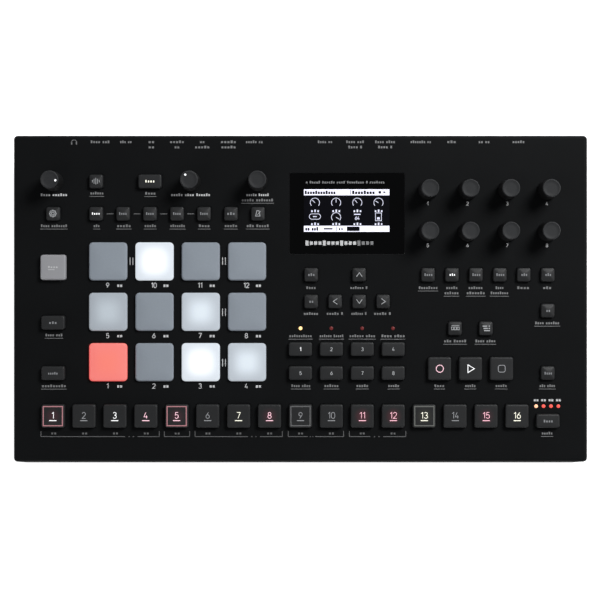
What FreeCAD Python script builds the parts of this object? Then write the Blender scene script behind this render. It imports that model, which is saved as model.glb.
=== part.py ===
"""Desktop drum machine: a sloping steel case with twelve pads, fifty-seven keys and eleven knobs.

World frame: +X right, +Y to the rear, +Z up, origin on the table under the middle of the case.
Panel frame: u right, v up the slope and w out of the panel, from the middle of its top face.
Everything that sits in the panel is drawn in the panel frame and then tilted with it.
"""
import FreeCAD, Part
import os
import re
import Sketcher

# Driving dimensions, millimetres and degrees
SIZES = {
    # Steel case
    "side_margin": 27.1,
    "panel_depth": 219.0,
    "panel_tilt": 7.0,
    "front_height": 40.5,
    "sheet_t": 1.2,
    "bend_r": 2.4,
    "corner_r": 2.6,
    "case_gap": 0.3,
    "rear_lip": 8.0,
    "fixing_lip": 11.0,
    "lip_nut_r": 3.0,
    "lip_nut_length": 3.5,
    # Feet and fixings
    "foot_height": 4.0,
    "foot_radius": 8.5,
    "foot_inset": 26.0,
    "screw_r": 1.45,
    "screw_length": 6.0,
    "screw_head_r": 2.75,
    "screw_head_height": 1.9,
    "screw_socket_r": 1.2,
    "screw_socket_depth": 1.1,
    "thread_gap": 0.1,
    "hole_gap": 0.25,
    "stand_nut_pitch": 100.0,
    "stand_thread_r": 2.0,
    "stand_nut_r": 4.2,
    "stand_nut_length": 4.0,
    # Control board under the panel
    "board_t": 1.6,
    "board_margin": 5.0,
    "board_rim": 1.2,
    "stud_r": 3.0,
    "stud_clearance": 1.2,
    # Main board over the floor
    "main_width": 344.0,
    "main_depth": 74.0,
    "main_rear_gap": 1.0,
    "main_edge_pad": 5.0,
    "standoff_height": 5.0,
    "chip_size": 20.0,
    "chip_height": 2.5,
    # Keys
    "key_height": 3.8,
    "key_gap": 0.3,
    "key_corner_r": 1.3,
    "key_rim_r": 0.7,
    "key_seat_gap": 0.3,
    "key_flange": 1.2,
    "key_flange_t": 1.2,
    "key_stem_r": 1.7,
    "key_stem_length": 2.5,
    "key_travel": 1.2,
    "square_key": 15.8,
    "wide_key_depth": 9.5,
    "small_key": 9.4,
    "function_key": 17.1,
    "switch_size": 6.0,
    "switch_height": 3.4,
    "switch_gap": 0.4,
    "stem_gap": 0.3,
    # Pads
    "pad_size": 25.5,
    "pad_height": 3.2,
    "pad_gap": 0.35,
    "pad_corner_r": 2.6,
    "pad_rim_r": 1.5,
    "pad_flange": 1.5,
    "pad_flange_t": 1.6,
    "pad_travel": 0.8,
    "pad_core": 21.0,
    "pad_rest_gap": 0.1,
    "sensor_t": 0.5,
    # Knobs, their shafts and the bodies that carry them
    "knob_height": 18.0,
    "knob_base_r": 6.6,
    "knob_top_r": 5.9,
    "knob_rim_r": 0.6,
    "knob_float": 0.7,
    "knob_bush_gap": 0.7,
    "knob_roof_gap": 2.1,
    "shaft_r": 3.0,
    "shaft_top": 14.5,
    "shaft_fit": 0.05,
    "shaft_run_gap": 0.1,
    "bush_wall": 1.0,
    "bush_top": 4.6,
    "encoder_size": 12.4,
    "encoder_floor": 1.2,
    # Display
    "window_width": 77.1,
    "window_depth": 54.3,
    "window_gap": 0.2,
    "window_corner_r": 1.2,
    "window_u": 31.2,
    "window_v": 56.8,
    "screen_width": 57.3,
    "screen_depth": 28.5,
    "screen_u": 30.95,
    "screen_v": 58.8,
    "screen_edge": 1.5,
    "screen_t": 1.8,
    "module_margin": 3.6,
    # Light pipes
    "light_r": 1.15,
    "light_height": 0.35,
    "light_gap": 0.15,
    "page_light_pitch": 4.97,
    # Where the controls sit in the panel
    "step_pitch": 20.675,
    # Key pitch and panel depth that the other places are drawn for
    "drawn_pitch": 20.675,
    "drawn_depth": 219.0,
    "step_row": -78.7,
    "page_row": -82.0,
    "page_light_row": -72.3,
    "function_row": 20.7,
    "left_upper_row": -16.3,
    "left_lower_row": -50.1,
    "top_row": 78.2,
    "mode_row": 56.6,
    "mode_setback": 28.7,
    "mode_pitch": 18.04,
    "pads_middle_u": -82.3,
    "pads_middle_v": -9.05,
    "pad_space_u": 5.5,
    "pad_space_v": 8.25,
    "scene_knob_u": -73.5,
    "level_knob_u": -28.5,
    "data_pitch": 26.63,
    "data_upper_row": 72.6,
    "data_lower_row": 44.6,
    "arrow_first": 7.2,
    "arrow_pitch": 16.05,
    "arrow_upper_row": 15.8,
    "arrow_lower_row": -2.1,
    "setting_pitch": 16.0,
    "effect_row": -8.2,
    "chain_row": -20.1,
    "bank_light_row": -20.1,
    "bank_upper_row": -34.0,
    "bank_lower_row": -50.0,
    "transport_row": -47.0,
    # Rear sockets
    "headphone_x": -151.8,
    "jack_first_x": -134.3,
    "jack_space": 1.4,
    "pedal_x": 80.4,
    "jack_bore_r": 3.2,
    "jack_bore_depth": 31.0,
    "jack_bush_r": 4.6,
    "jack_nose": 5.0,
    "jack_width": 15.8,
    "jack_height": 18.8,
    "jack_depth": 28.0,
    "jack_nut_wall": 1.9,
    "jack_nut_t": 2.6,
    "midi_first_x": 16.6,
    "midi_space": 1.35,
    "midi_rim": 0.8,
    "midi_recess_r": 6.9,
    "midi_recess_depth": 8.5,
    "midi_width": 18.6,
    "midi_height": 20.0,
    "midi_depth": 13.0,
    "midi_pin_r": 0.8,
    "midi_pin_circle": 4.45,
    "usb_x": 101.2,
    "usb_width": 12.0,
    "usb_height": 10.9,
    "usb_depth": 16.0,
    "usb_wall": 1.4,
    "usb_hollow_depth": 9.0,
    "usb_tongue_width": 5.6,
    "usb_tongue_height": 3.0,
    "usb_tongue_setback": 2.0,
    "inlet_x": 123.0,
    "inlet_width": 9.6,
    "inlet_height": 11.5,
    "inlet_depth": 14.0,
    "inlet_nose_r": 4.5,
    "inlet_bore_r": 3.2,
    "inlet_bore_depth": 9.5,
    "inlet_pin_r": 1.05,
    "inlet_pin_setback": 1.5,
    "socket_nose": 0.6,
    # Power switch
    "power_x": 146.1,
    "power_z": 27.0,
    "power_flange": 1.1,
    "power_flange_t": 1.5,
    "power_body_depth": 13.0,
    "power_wall": 1.0,
    "power_floor": 2.0,
    "rocker_width": 16.4,
    "rocker_height": 10.3,
    "rocker_tilt": 10.0,
    "rocker_peak": 3.4,
    "rocker_valley": 1.9,
    "rocker_bottom": 3.0,
    "rocker_pivot_depth": 1.4,
    "rocker_pin_r": 1.2,
    "rocker_pin_length": 0.6,
    "rocker_gap": 0.3,
    "rocker_end_gap": 0.5,
}

STEPS = 16
PAD_COLUMNS = 4
PAD_ROWS = 3
MODE_KEYS = 7
SETTING_KEYS = 6
DATA_COLUMNS = 4
JACK_PAIRS = 7
MIDI_SOCKETS = 3
MIDI_PIN_ANGLES = (-90, -45, 0, 45, 90)
MIDDLE_STEP = 8
SINK = "sheet_t / 2"

doc = FreeCAD.newDocument("drum_machine")


def fill_sheet():
    """Write every driving dimension into the spreadsheet under its own name."""
    sheet = doc.addObject("Spreadsheet::Sheet", "sizes")
    for line, (name, value) in enumerate(SIZES.items(), start=1):
        sheet.set(f"A{line}", name)
        sheet.set(f"B{line}", str(value))
        sheet.setAlias(f"B{line}", name)
    doc.recompute()


def cells(text):
    """The expression with each dimension's name pointed at its cell."""

    def cell(word):
        return "sizes." + word.group() if word.group() in SIZES else word.group()

    return re.sub(r"\b[a-z_]+\b", cell, text)


def bind(item, **sizes):
    """Bind plain properties of an object to expressions of the driving dimensions."""
    for name, text in sizes.items():
        item.setExpression(name, cells(text))
    return item


def spread_u(name):
    """A drawn place or pitch across the panel, which widens with the pitch of the step keys."""
    return f"({name} * step_pitch / drawn_pitch)"


def spread_v(name):
    """A drawn place up the panel, which moves out with the panel's depth."""
    return f"({name} * panel_depth / drawn_depth)"


# Lengths that several pieces share, each as an expression of the driving dimensions
COS = "cos(panel_tilt * 1deg)"
SIN = "sin(panel_tilt * 1deg)"
TAN = "tan(panel_tilt * 1deg)"
COLUMN = f"(step_pitch * {MIDDLE_STEP})"
HALF_WIDTH = f"({COLUMN} + side_margin)"
PANEL_WIDTH = f"(2 * {HALF_WIDTH})"
HALF_DEPTH = f"(panel_depth / 2 * {COS})"
REAR_HEIGHT = f"(front_height + panel_depth * {SIN})"
MIDDLE_HEIGHT = f"(front_height + panel_depth / 2 * {SIN})"
FLOOR_TOP = "(foot_height + sheet_t)"
REAR_FACE = f"({HALF_DEPTH} - sheet_t - case_gap)"
SIDE_GAP = "(case_gap + (corner_r - sheet_t) / 2)"
REAR_INSIDE = f"({REAR_FACE} - sheet_t)"
CASE_WIDTH = f"({PANEL_WIDTH} - 2 * sheet_t - 2 * {SIDE_GAP})"
MAIN_TOP = f"({FLOOR_TOP} + standoff_height + board_t)"
LIP_SCREW_X = f"({HALF_WIDTH} - sheet_t - fixing_lip / 2)"
LIP_SCREW_Y = f"(-{HALF_DEPTH} + sheet_t + fixing_lip / 2)"
KEY_UNDERSIDE = "(sheet_t + key_seat_gap + key_flange_t)"
BOARD_DROP = f"({KEY_UNDERSIDE} + key_travel + switch_gap + switch_height)"
BOARD_WIDTH = f"({PANEL_WIDTH} - 2 * sheet_t - 2 * board_margin)"
STUD_FRONT = f"({spread_v('step_row')} - square_key / 2 - key_flange - stud_clearance - stud_r)"
STUD_REAR = f"({spread_v('top_row')} + encoder_size / 2 + stud_clearance + stud_r)"
BOARD_FRONT = f"({STUD_FRONT} - stud_r - board_rim)"
BOARD_REAR = f"({STUD_REAR} + stud_r + board_rim)"
BUSH_R = "(shaft_r + shaft_run_gap + bush_wall)"
PAD_PITCH_U = "(pad_size + pad_space_u)"
PAD_PITCH_V = "(pad_size + pad_space_v)"
MODE_FIRST = f"({spread_u('mode_setback')} - {COLUMN})"
WINDOW_PLACE = (spread_u("window_u"), spread_v("window_v"))
SCREEN_PLACE = (spread_u("screen_u"), spread_v("screen_v"))
JACK_PITCH = "(jack_width + jack_space)"
JACK_NUT_ACROSS = "(2 * jack_bush_r + 2 * jack_nut_wall)"
MIDI_PITCH = "(midi_width + midi_space)"
POWER_HOLLOW_WIDTH = "(rocker_width + 2 * rocker_end_gap)"
POWER_HOLLOW_HEIGHT = "(rocker_height + 2 * rocker_gap)"
POWER_BODY_WIDTH = f"({POWER_HOLLOW_WIDTH} + 2 * power_wall)"
POWER_BODY_HEIGHT = f"({POWER_HOLLOW_HEIGHT} + 2 * power_wall)"
# The overall middle from front to rear: the jacks' noses reach past the lid
MIDDLE_SHIFT = "-(jack_nose - sheet_t - case_gap) / 2"


def put(item, x="0", y="0", z="0"):
    """Bind an object's position."""
    return bind(item, **{"Placement.Base.x": x, "Placement.Base.y": y, "Placement.Base.z": z})


def put_on_panel(item, u="0", v="0", w="0"):
    """Tilt an object with the panel and place it at (u, v), w above the panel's top face."""
    item.Placement = FreeCAD.Placement(FreeCAD.Vector(), FreeCAD.Rotation(FreeCAD.Vector(1, 0, 0), 1))
    bind(item, **{"Placement.Rotation.Angle": "panel_tilt * 1deg"})
    rise = f"({v}) * {SIN} + ({w}) * {COS}"
    return put(item, u, f"({v}) * {COS} - ({w}) * {SIN}", f"{MIDDLE_HEIGHT} + {rise}")


def turn(item, axis, degrees):
    """Turn an object about one of its own axes before it is placed."""
    item.Placement = FreeCAD.Placement(FreeCAD.Vector(), FreeCAD.Rotation(FreeCAD.Vector(*axis), degrees))
    return item


# Plain solids and how they are joined
def box(name, width, depth, height, x="0", y="0", z="0"):
    """A block centred on x and y, standing on z."""
    item = bind(doc.addObject("Part::Box", name), Length=width, Width=depth, Height=height)
    return put(item, f"({x}) - ({width}) / 2", f"({y}) - ({depth}) / 2", z)


def cylinder(name, radius, height, x="0", y="0", z="0"):
    """A round bar standing on z."""
    return put(bind(doc.addObject("Part::Cylinder", name), Radius=radius, Height=height), x, y, z)


def rear_cylinder(name, radius, length, x, y, z):
    """A round bar that lies along Y, from y towards the rear."""
    return put(turn(cylinder(name, radius, length), (1, 0, 0), -90), x, y, z)


def group(name, members):
    """Several pieces kept as one group of separate solids."""
    item = doc.addObject("Part::Compound", name)
    item.Links = members
    return item


def copies(form, name, places, level="0"):
    """The same form at several places of one level."""
    return [put(group(f"{name}_{n}", [form]), x, y, level) for n, (x, y) in enumerate(places)]


def fuse(name, members):
    item = doc.addObject("Part::MultiFuse", name)
    item.Shapes = members
    return item


def cut(name, base, tool):
    item = doc.addObject("Part::Cut", name)
    item.Base = base
    item.Tool = tool
    return item


# Bodies drawn with sketches
def origin_plane(body, role):
    return next(item for item in body.Origin.OriginFeatures if item.Role == role)


def outline(body, name, role, points, level="0"):
    """A closed sketch through points given as pairs of expressions, level above its plane."""
    sketch = body.newObject("Sketcher::SketchObject", name)
    sketch.AttachmentSupport = [(origin_plane(body, role), "")]
    sketch.MapMode = "FlatFace"
    sketch.setExpression("AttachmentOffset.Base.z", cells(level))
    count = len(points)
    turns = [FreeCAD.Rotation(FreeCAD.Vector(0, 0, 1), 360 * n / count) for n in range(count)]
    corners = [turned.multVec(FreeCAD.Vector(10, 0, 0)) for turned in turns]
    for n in range(count):
        sketch.addGeometry(Part.LineSegment(corners[n], corners[(n + 1) % count]))
    for n in range(count):
        sketch.addConstraint(Sketcher.Constraint("Coincident", n, 2, (n + 1) % count, 1))
    for n, (across, along) in enumerate(points):
        for kind, text, start in (("DistanceX", across, corners[n].x), ("DistanceY", along, corners[n].y)):
            index = sketch.addConstraint(Sketcher.Constraint(kind, -1, 1, n, 1, start))
            sketch.renameConstraint(index, f"{kind}_{n}")
            sketch.setExpression(f"Constraints.{kind}_{n}", cells(text))
    return sketch


def rectangle(body, name, width, depth, level):
    half_w, half_d = f"({width}) / 2", f"({depth}) / 2"
    corners = [(f"-{half_w}", f"-{half_d}"), (half_w, f"-{half_d}"), (half_w, half_d), (f"-{half_w}", half_d)]
    return outline(body, name, "XY_Plane", corners, level)


def disc(body, name, radius, level):
    """A round sketch about the body's own Z axis."""
    sketch = body.newObject("Sketcher::SketchObject", name)
    sketch.AttachmentSupport = [(origin_plane(body, "XY_Plane"), "")]
    sketch.MapMode = "FlatFace"
    sketch.setExpression("AttachmentOffset.Base.z", cells(level))
    sketch.addGeometry(Part.Circle(FreeCAD.Vector(), FreeCAD.Vector(0, 0, 1), 1))
    sketch.addConstraint(Sketcher.Constraint("Coincident", 0, 3, -1, 1))
    sketch.renameConstraint(sketch.addConstraint(Sketcher.Constraint("Radius", 0, 1)), "radius")
    sketch.setExpression("Constraints.radius", cells(radius))
    return sketch


def pad(body, name, sketch, length, midplane=False):
    feature = body.newObject("PartDesign::Pad", name)
    feature.Profile = sketch
    feature.Midplane = midplane
    bind(feature, Length=length)
    doc.recompute()
    return feature


def fillet(body, name, radius, wanted):
    """Round the edges of the body's last feature that the test picks."""
    base = body.Tip
    picked = [f"Edge{n}" for n, edge in enumerate(base.Shape.Edges, start=1) if wanted(edge)]
    feature = body.newObject("PartDesign::Fillet", name)
    feature.Base = (base, picked)
    bind(feature, Radius=radius)
    doc.recompute()
    return feature


def upright(edge):
    """Does the edge run along Z?"""
    first, last = edge.Vertexes[0].Point, edge.Vertexes[-1].Point
    return abs(first.z - last.z) > 1e-3 and abs(first.x - last.x) + abs(first.y - last.y) < 1e-3


def at_top(body):
    """A test for the edges round the body's top face."""
    top = body.Shape.BoundBox.ZMax
    return lambda edge: all(abs(vertex.Z - top) < 1e-3 for vertex in edge.Vertexes)


def rounded_block(name, width, depth, bottom, height, corner):
    """A block with rounded upright edges, from bottom upwards."""
    body = doc.addObject("PartDesign::Body", name)
    pad(body, name + "_block", rectangle(body, name + "_outline", width, depth, bottom), height)
    fillet(body, name + "_corners", corner, upright)
    return body


# Steel case
def wedge(name, inset, bottom, corner, bend):
    """The case's outer form, set in by the same amount on every side and under the sloping top."""
    body = doc.addObject("PartDesign::Body", name)
    half = f"({HALF_DEPTH} - {inset})"
    lower = f"{inset} / {COS}"
    side = [
        (f"-{half}", bottom),
        (half, bottom),
        (half, f"{REAR_HEIGHT} - {inset} * {TAN} - {lower}"),
        (f"-{half}", f"front_height + {inset} * {TAN} - {lower}"),
    ]
    sketch = outline(body, name + "_side", "YZ_Plane", side)
    pad(body, name + "_block", sketch, f"{PANEL_WIDTH} - 2 * {inset}", True)
    fillet(body, name + "_corners", corner, upright)
    face = max(body.Shape.Faces, key=lambda each: each.CenterOfMass.z)
    rim = [edge.CenterOfMass for edge in face.Edges]

    def on_rim(edge):
        return any(edge.CenterOfMass.isEqual(point, 1e-4) for point in rim)

    fillet(body, name + "_bends", bend, on_rim)
    return body


def fixing_lips():
    """Lips turned in along the lid's lower edge, with pressed nuts for the floor's screws."""
    depth = f"(2 * {HALF_DEPTH} - 5 * sheet_t - 2 * case_gap)"
    middle = "-(3 * sheet_t / 2 + case_gap)"
    width = f"fixing_lip + {SINK}"
    lips = []
    for side, sign in (("left", "-1"), ("right", "1")):
        centre = f"{sign} * ({HALF_WIDTH} - sheet_t + {SINK} - ({width}) / 2)"
        lips.append(box(f"{side}_lip", width, depth, "sheet_t", centre, middle, FLOOR_TOP))
    front = f"-({HALF_DEPTH} - sheet_t + {SINK} - ({width}) / 2)"
    lips.append(box("front_lip", f"{PANEL_WIDTH} - 2 * sheet_t", width, "sheet_t", "0", front, FLOOR_TOP))
    nut = cylinder("lip_nut_form", "lip_nut_r", "sheet_t + lip_nut_length")
    return lips + copies(nut, "lip_nut", LIP_SCREWS, FLOOR_TOP)


def panel_studs():
    """Studs welded under the panel, which carry the control board."""
    stud = cylinder("stud_form", "stud_r", f"{BOARD_DROP} - sheet_t + {SINK}")
    return put_on_panel(group("studs", copies(stud, "stud", STUDS, f"-{BOARD_DROP}")))


def panel_openings():
    """What is punched through the sloping panel."""
    reach = "3 * sheet_t"
    low = "-2 * sheet_t"

    def punch(name, width, depth, gap, corner):
        across, along_v = f"{width} + 2 * {gap}", f"{depth} + 2 * {gap}"
        return rounded_block(name, across, along_v, low, reach, f"{corner} + {gap}")

    square = punch("square_punch", "square_key", "square_key", "key_gap", "key_corner_r")
    wide = punch("wide_punch", "square_key", "wide_key_depth", "key_gap", "key_corner_r")
    small = punch("small_punch", "small_key", "small_key", "key_gap", "key_corner_r")
    large = punch("function_punch", "function_key", "function_key", "key_gap", "key_corner_r")
    pads = punch("pad_punch", "pad_size", "pad_size", "pad_gap", "pad_corner_r")
    pane = punch("window_punch", "window_width", "window_depth", "window_gap", "window_corner_r")
    bush = cylinder("bush_punch", f"{BUSH_R} + hole_gap", reach, z=low)
    light = cylinder("light_punch", "light_r + light_gap", reach, z=low)
    punches = copies(square, "square_hole", STEP_KEYS + TRANSPORT_KEYS)
    punches += copies(wide, "wide_hole", WIDE_KEYS)
    punches += copies(small, "small_hole", SMALL_KEYS)
    punches += copies(large, "function_hole", [FUNCTION_KEY])
    punches += copies(pads, "pad_hole", PADS)
    punches += copies(pane, "window_hole", [WINDOW_PLACE])
    punches += copies(bush, "bush_hole", [place for _, place in KNOBS])
    punches += copies(light, "light_hole", LIGHTS)
    bore = cylinder("stud_bore", "screw_r + thread_gap", f"{BOARD_DROP} - sheet_t - case_gap")
    punches += copies(bore, "stud_hole", STUDS, f"-{BOARD_DROP}")
    return put_on_panel(group("panel_openings", punches))


def top_panel():
    """Folded steel lid: panel, sides, front, a short rear lip and the fixing lips."""
    outer = wedge("lid_outer", "0", "foot_height", "corner_r", "bend_r")
    inner = wedge("lid_inner", "sheet_t", "0", "corner_r - sheet_t", "bend_r - sheet_t")
    back_height = f"({REAR_HEIGHT} - rear_lip)"
    back = box("rear_opening", f"{PANEL_WIDTH} - 2 * sheet_t", "4 * sheet_t", back_height, y=HALF_DEPTH)
    shell = cut("lid_shell", outer, group("lid_hollow", [inner, back]))
    whole = fuse("lid_with_lips", [shell, panel_studs(), *fixing_lips()])
    thread = cylinder("lip_thread_form", "screw_r + thread_gap", "3 * sheet_t + lip_nut_length")
    threads = copies(thread, "lip_thread", LIP_SCREWS, "foot_height")
    return cut("top_panel", whole, group("lid_cuts", [panel_openings(), *threads]))


def rear_openings():
    """What is punched through the rear wall."""
    start = f"{REAR_INSIDE} - sheet_t"
    reach = "3 * sheet_t"
    middle = f"{REAR_INSIDE} + sheet_t / 2"
    room = "2 * hole_gap"
    punches = []
    for n, (x, z) in enumerate(JACKS):
        punches.append(rear_cylinder(f"jack_hole_{n}", "jack_bush_r + hole_gap", reach, x, start, z))
    for n, x in enumerate(MIDI_X):
        punches.append(rear_cylinder(f"midi_hole_{n}", "midi_recess_r + midi_rim", reach, x, start, MIDI_Z))
    punches.append(rear_cylinder("inlet_hole", "inlet_nose_r + hole_gap", reach, "inlet_x", start, INLET_Z))
    width, height = f"usb_width + {room}", f"usb_height + {room}"
    punches.append(box("usb_hole", width, reach, height, "usb_x", middle, f"{MAIN_TOP} - hole_gap"))
    width, height = f"{POWER_BODY_WIDTH} + {room}", f"{POWER_BODY_HEIGHT} + {room}"
    punches.append(box("power_hole", width, reach, height, "power_x", middle, f"power_z - ({height}) / 2"))
    return punches


def case_floor():
    """Floor with the pressed standoffs of the main board and the four stand nuts."""
    root = f"{FLOOR_TOP} - {SINK}"
    standoff = cylinder("standoff_form", "stud_r", f"standoff_height + {SINK}")
    nut = cylinder("stand_nut_form", "stand_nut_r", f"stand_nut_length + {SINK}")
    pressed = copies(standoff, "standoff", MAIN_SCREWS, root) + copies(nut, "stand_nut", STAND_NUTS, root)
    thread = cylinder("standoff_bore_form", "screw_r + thread_gap", "standoff_height")
    through = cylinder("stand_thread_form", "stand_thread_r", "2 * sheet_t + stand_nut_length")
    hole = cylinder("floor_hole_form", "screw_r + hole_gap", "2 * sheet_t")
    bores = copies(thread, "standoff_bore", MAIN_SCREWS, FLOOR_TOP)
    bores += copies(through, "stand_thread", STAND_NUTS, "foot_height")
    bores += copies(hole, "floor_hole", LIP_SCREWS, f"foot_height - {SINK}")
    plate = box("floor_plate", CASE_WIDTH, f"2 * {REAR_FACE}", "sheet_t", z="foot_height")
    return cut("case_floor", fuse("floor_with_standoffs", [plate, *pressed]), group("floor_bores", bores))


def rear_wall():
    """Wall that stands on the floor's rear edge, punched for the sockets."""
    roof = f"({REAR_HEIGHT} - (2 * sheet_t + case_gap) * {TAN} - sheet_t / {COS})"
    height = f"{roof} - case_gap - (bend_r - sheet_t) - {FLOOR_TOP}"
    middle = f"{REAR_INSIDE} + sheet_t / 2"
    plate = box("wall_plate", CASE_WIDTH, "sheet_t", height, y=middle, z=FLOOR_TOP)
    return cut("rear_wall", plate, group("wall_openings", rear_openings()))


def bottom_case():
    """Floor and rear wall, welded to each other along the edge where they meet."""
    return group("bottom_case", [case_floor(), rear_wall()])


def rubber_feet():
    foot = doc.addObject("PartDesign::Body", "foot_form")
    pad(foot, "foot_block", disc(foot, "foot_outline", "foot_radius", "0"), "foot_height")
    fillet(foot, "foot_rim", "foot_height / 6", lambda edge: all(vertex.Z < 1e-3 for vertex in edge.Vertexes))
    return group("rubber_feet", copies(foot, "foot", FEET))


# Boards
def switch_form():
    """Small push switch with the well that a key's stem runs in."""
    block = box("switch_block", "switch_size", "switch_size", "switch_height")
    well = "key_stem_length - switch_gap + stem_gap"
    hole = cylinder("switch_well", "key_stem_r + stem_gap", well, z=f"switch_height - ({well})")
    return cut("switch_form", block, hole)


def encoder_form():
    """Rotary encoder or potentiometer: square body, round bush and the bore for its shaft."""
    height = f"({BOARD_DROP} - sheet_t - case_gap)"
    block = box("encoder_block", "encoder_size", "encoder_size", height)
    bush = cylinder("encoder_bush", BUSH_R, f"{BOARD_DROP} + bush_top")
    bore = cylinder("encoder_bore", "shaft_r + shaft_run_gap", f"{BOARD_DROP} + bush_top", z="encoder_floor")
    return cut("encoder_form", fuse("encoder_outer", [block, bush]), bore)


def light_form():
    """Light pipe that stands on the board and shows in the panel."""
    body = doc.addObject("PartDesign::Body", "light_form")
    pad(body, "light_rod", disc(body, "light_outline", "light_r", "0"), f"{BOARD_DROP} + light_height")
    fillet(body, "light_dome", "light_height", at_top(body))
    return body


def control_board():
    """Board under the panel, with its switches, encoders, pad sensors and light pipes."""
    depth = f"({BOARD_REAR} - {BOARD_FRONT})"
    middle = f"({BOARD_REAR} + {BOARD_FRONT}) / 2"
    plate = box("control_plate", BOARD_WIDTH, depth, "board_t", y=middle, z=f"-({BOARD_DROP} + board_t)")
    hole = cylinder("control_screw", "screw_r + hole_gap", "3 * board_t", z=f"-({BOARD_DROP} + 2 * board_t)")
    plate = cut("control_sheet", plate, group("control_holes", copies(hole, "control_hole", STUDS)))
    sensor = box("sensor_form", "pad_size", "pad_size", "sensor_t")
    seat = f"-{BOARD_DROP}"
    keys = STEP_KEYS + TRANSPORT_KEYS + WIDE_KEYS + SMALL_KEYS + [FUNCTION_KEY]
    pieces = [plate]
    pieces += copies(switch_form(), "switch", keys, seat)
    pieces += copies(encoder_form(), "encoder", [place for _, place in KNOBS], seat)
    pieces += copies(sensor, "sensor", PADS, seat)
    pieces += copies(light_form(), "light", LIGHTS, seat)
    return put_on_panel(group("control_board", pieces))


def main_board():
    """Board over the floor, which carries the rear sockets."""
    y = f"{REAR_INSIDE} - main_rear_gap - main_depth / 2"
    base = f"{FLOOR_TOP} + standoff_height"
    plate = box("main_plate", "main_width", "main_depth", "board_t", y=y, z=base)
    hole = cylinder("main_hole_form", "screw_r + hole_gap", "3 * board_t")
    holes = copies(hole, "main_hole", MAIN_SCREWS, f"{base} - board_t")
    chip = box("chip_form", "chip_size", "chip_size", "chip_height")
    front = f"({REAR_INSIDE} - main_rear_gap - main_depth + chip_size)"
    chips = copies(chip, "chip", [(f"{n} * main_width / 4", front) for n in (-1, 0, 1)], MAIN_TOP)
    return group("main_board", [cut("main_sheet", plate, group("main_holes", holes)), *chips])


# Pieces that the hands move
def key_form(name, width, depth):
    """Key cap with the flange that keeps it under the panel and the stem that works its switch."""
    body = doc.addObject("PartDesign::Body", name)
    underside = f"-{KEY_UNDERSIDE}"
    cap = rectangle(body, name + "_cap_outline", width, depth, underside)
    pad(body, name + "_cap", cap, f"key_height + {KEY_UNDERSIDE}")
    fillet(body, name + "_corners", "key_corner_r", upright)
    fillet(body, name + "_rim", "key_rim_r", at_top(body))
    skirt = "2 * key_flange"
    flange = rectangle(body, name + "_flange_outline", f"{width} + {skirt}", f"{depth} + {skirt}", underside)
    pad(body, name + "_flange", flange, "key_flange_t")
    stem = disc(body, name + "_stem_outline", "key_stem_r", f"{underside} - key_stem_length")
    pad(body, name + "_stem", stem, "key_stem_length")
    return body


def pad_form():
    """Rubber pad with its flange under the panel and the core that presses the force sensor."""
    body = doc.addObject("PartDesign::Body", "pad_form")
    flange_bottom = "-(sheet_t + key_seat_gap + pad_flange_t)"
    cap = rectangle(body, "pad_cap_outline", "pad_size", "pad_size", flange_bottom)
    pad(body, "pad_cap", cap, f"pad_height - ({flange_bottom})")
    fillet(body, "pad_corners", "pad_corner_r", upright)
    fillet(body, "pad_rim", "pad_rim_r", at_top(body))
    across = "pad_size + 2 * pad_flange"
    flange = rectangle(body, "pad_flange_outline", across, across, flange_bottom)
    pad(body, "pad_flange", flange, "pad_flange_t")
    core_bottom = f"-({BOARD_DROP} - sensor_t - pad_travel - pad_rest_gap)"
    core = rectangle(body, "pad_core_outline", "pad_core", "pad_core", core_bottom)
    pad(body, "pad_core", core, f"({flange_bottom}) - ({core_bottom})")
    return body


def knob_form():
    """Tapered knob with the hollow that clears the bush, pressed on its own shaft."""
    body = doc.addObject("PartDesign::Body", "knob_cap")
    hollow = "bush_top + knob_roof_gap"
    cavity = f"{BUSH_R} + knob_bush_gap"
    profile = [
        ("knob_base_r", "knob_float"),
        ("knob_top_r", "knob_height"),
        ("0", "knob_height"),
        ("0", "shaft_top"),
        ("shaft_r + shaft_fit", "shaft_top"),
        ("shaft_r + shaft_fit", hollow),
        (cavity, hollow),
        (cavity, "knob_float"),
    ]
    sketch = outline(body, "knob_profile", "XZ_Plane", profile)
    feature = body.newObject("PartDesign::Revolution", "knob_turning")
    feature.Profile = sketch
    feature.ReferenceAxis = (sketch, ["V_Axis"])
    feature.Angle = 360
    doc.recompute()
    fillet(body, "knob_rim", "knob_rim_r", at_top(body))
    foot = f"-({BOARD_DROP} - encoder_floor - case_gap)"
    shaft = cylinder("knob_shaft", "shaft_r", f"shaft_top - ({foot})", z=foot)
    return group("knob_form", [body, shaft])


def display():
    """Pane that fills the panel's window, and the module that carries it from behind."""
    width, across, depth = "window_width", "window_depth", f"({BOARD_DROP} - sheet_t)"
    pane = rounded_block("display_pane", width, across, "-sheet_t", "sheet_t", "window_corner_r")
    window = put_on_panel(group("display_window", [pane]), *WINDOW_PLACE)
    width, across = f"{width} + 2 * module_margin", f"{across} + 2 * module_margin"
    frame = box("module_block", width, across, depth, *WINDOW_PLACE, f"-{BOARD_DROP}")
    width, across = "screen_width + 2 * screen_edge", "screen_depth + 2 * screen_edge"
    low = "-(sheet_t + screen_t)"
    bed = box("screen_bed", width, across, "2 * screen_t", *SCREEN_PLACE, low)
    width, across = f"{width} - 2 * window_gap", f"{across} - 2 * window_gap"
    glass = box("screen_glass", width, across, "screen_t", *SCREEN_PLACE, low)
    return [window, put_on_panel(group("display_module", [cut("module_frame", frame, bed), glass]))]


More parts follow.
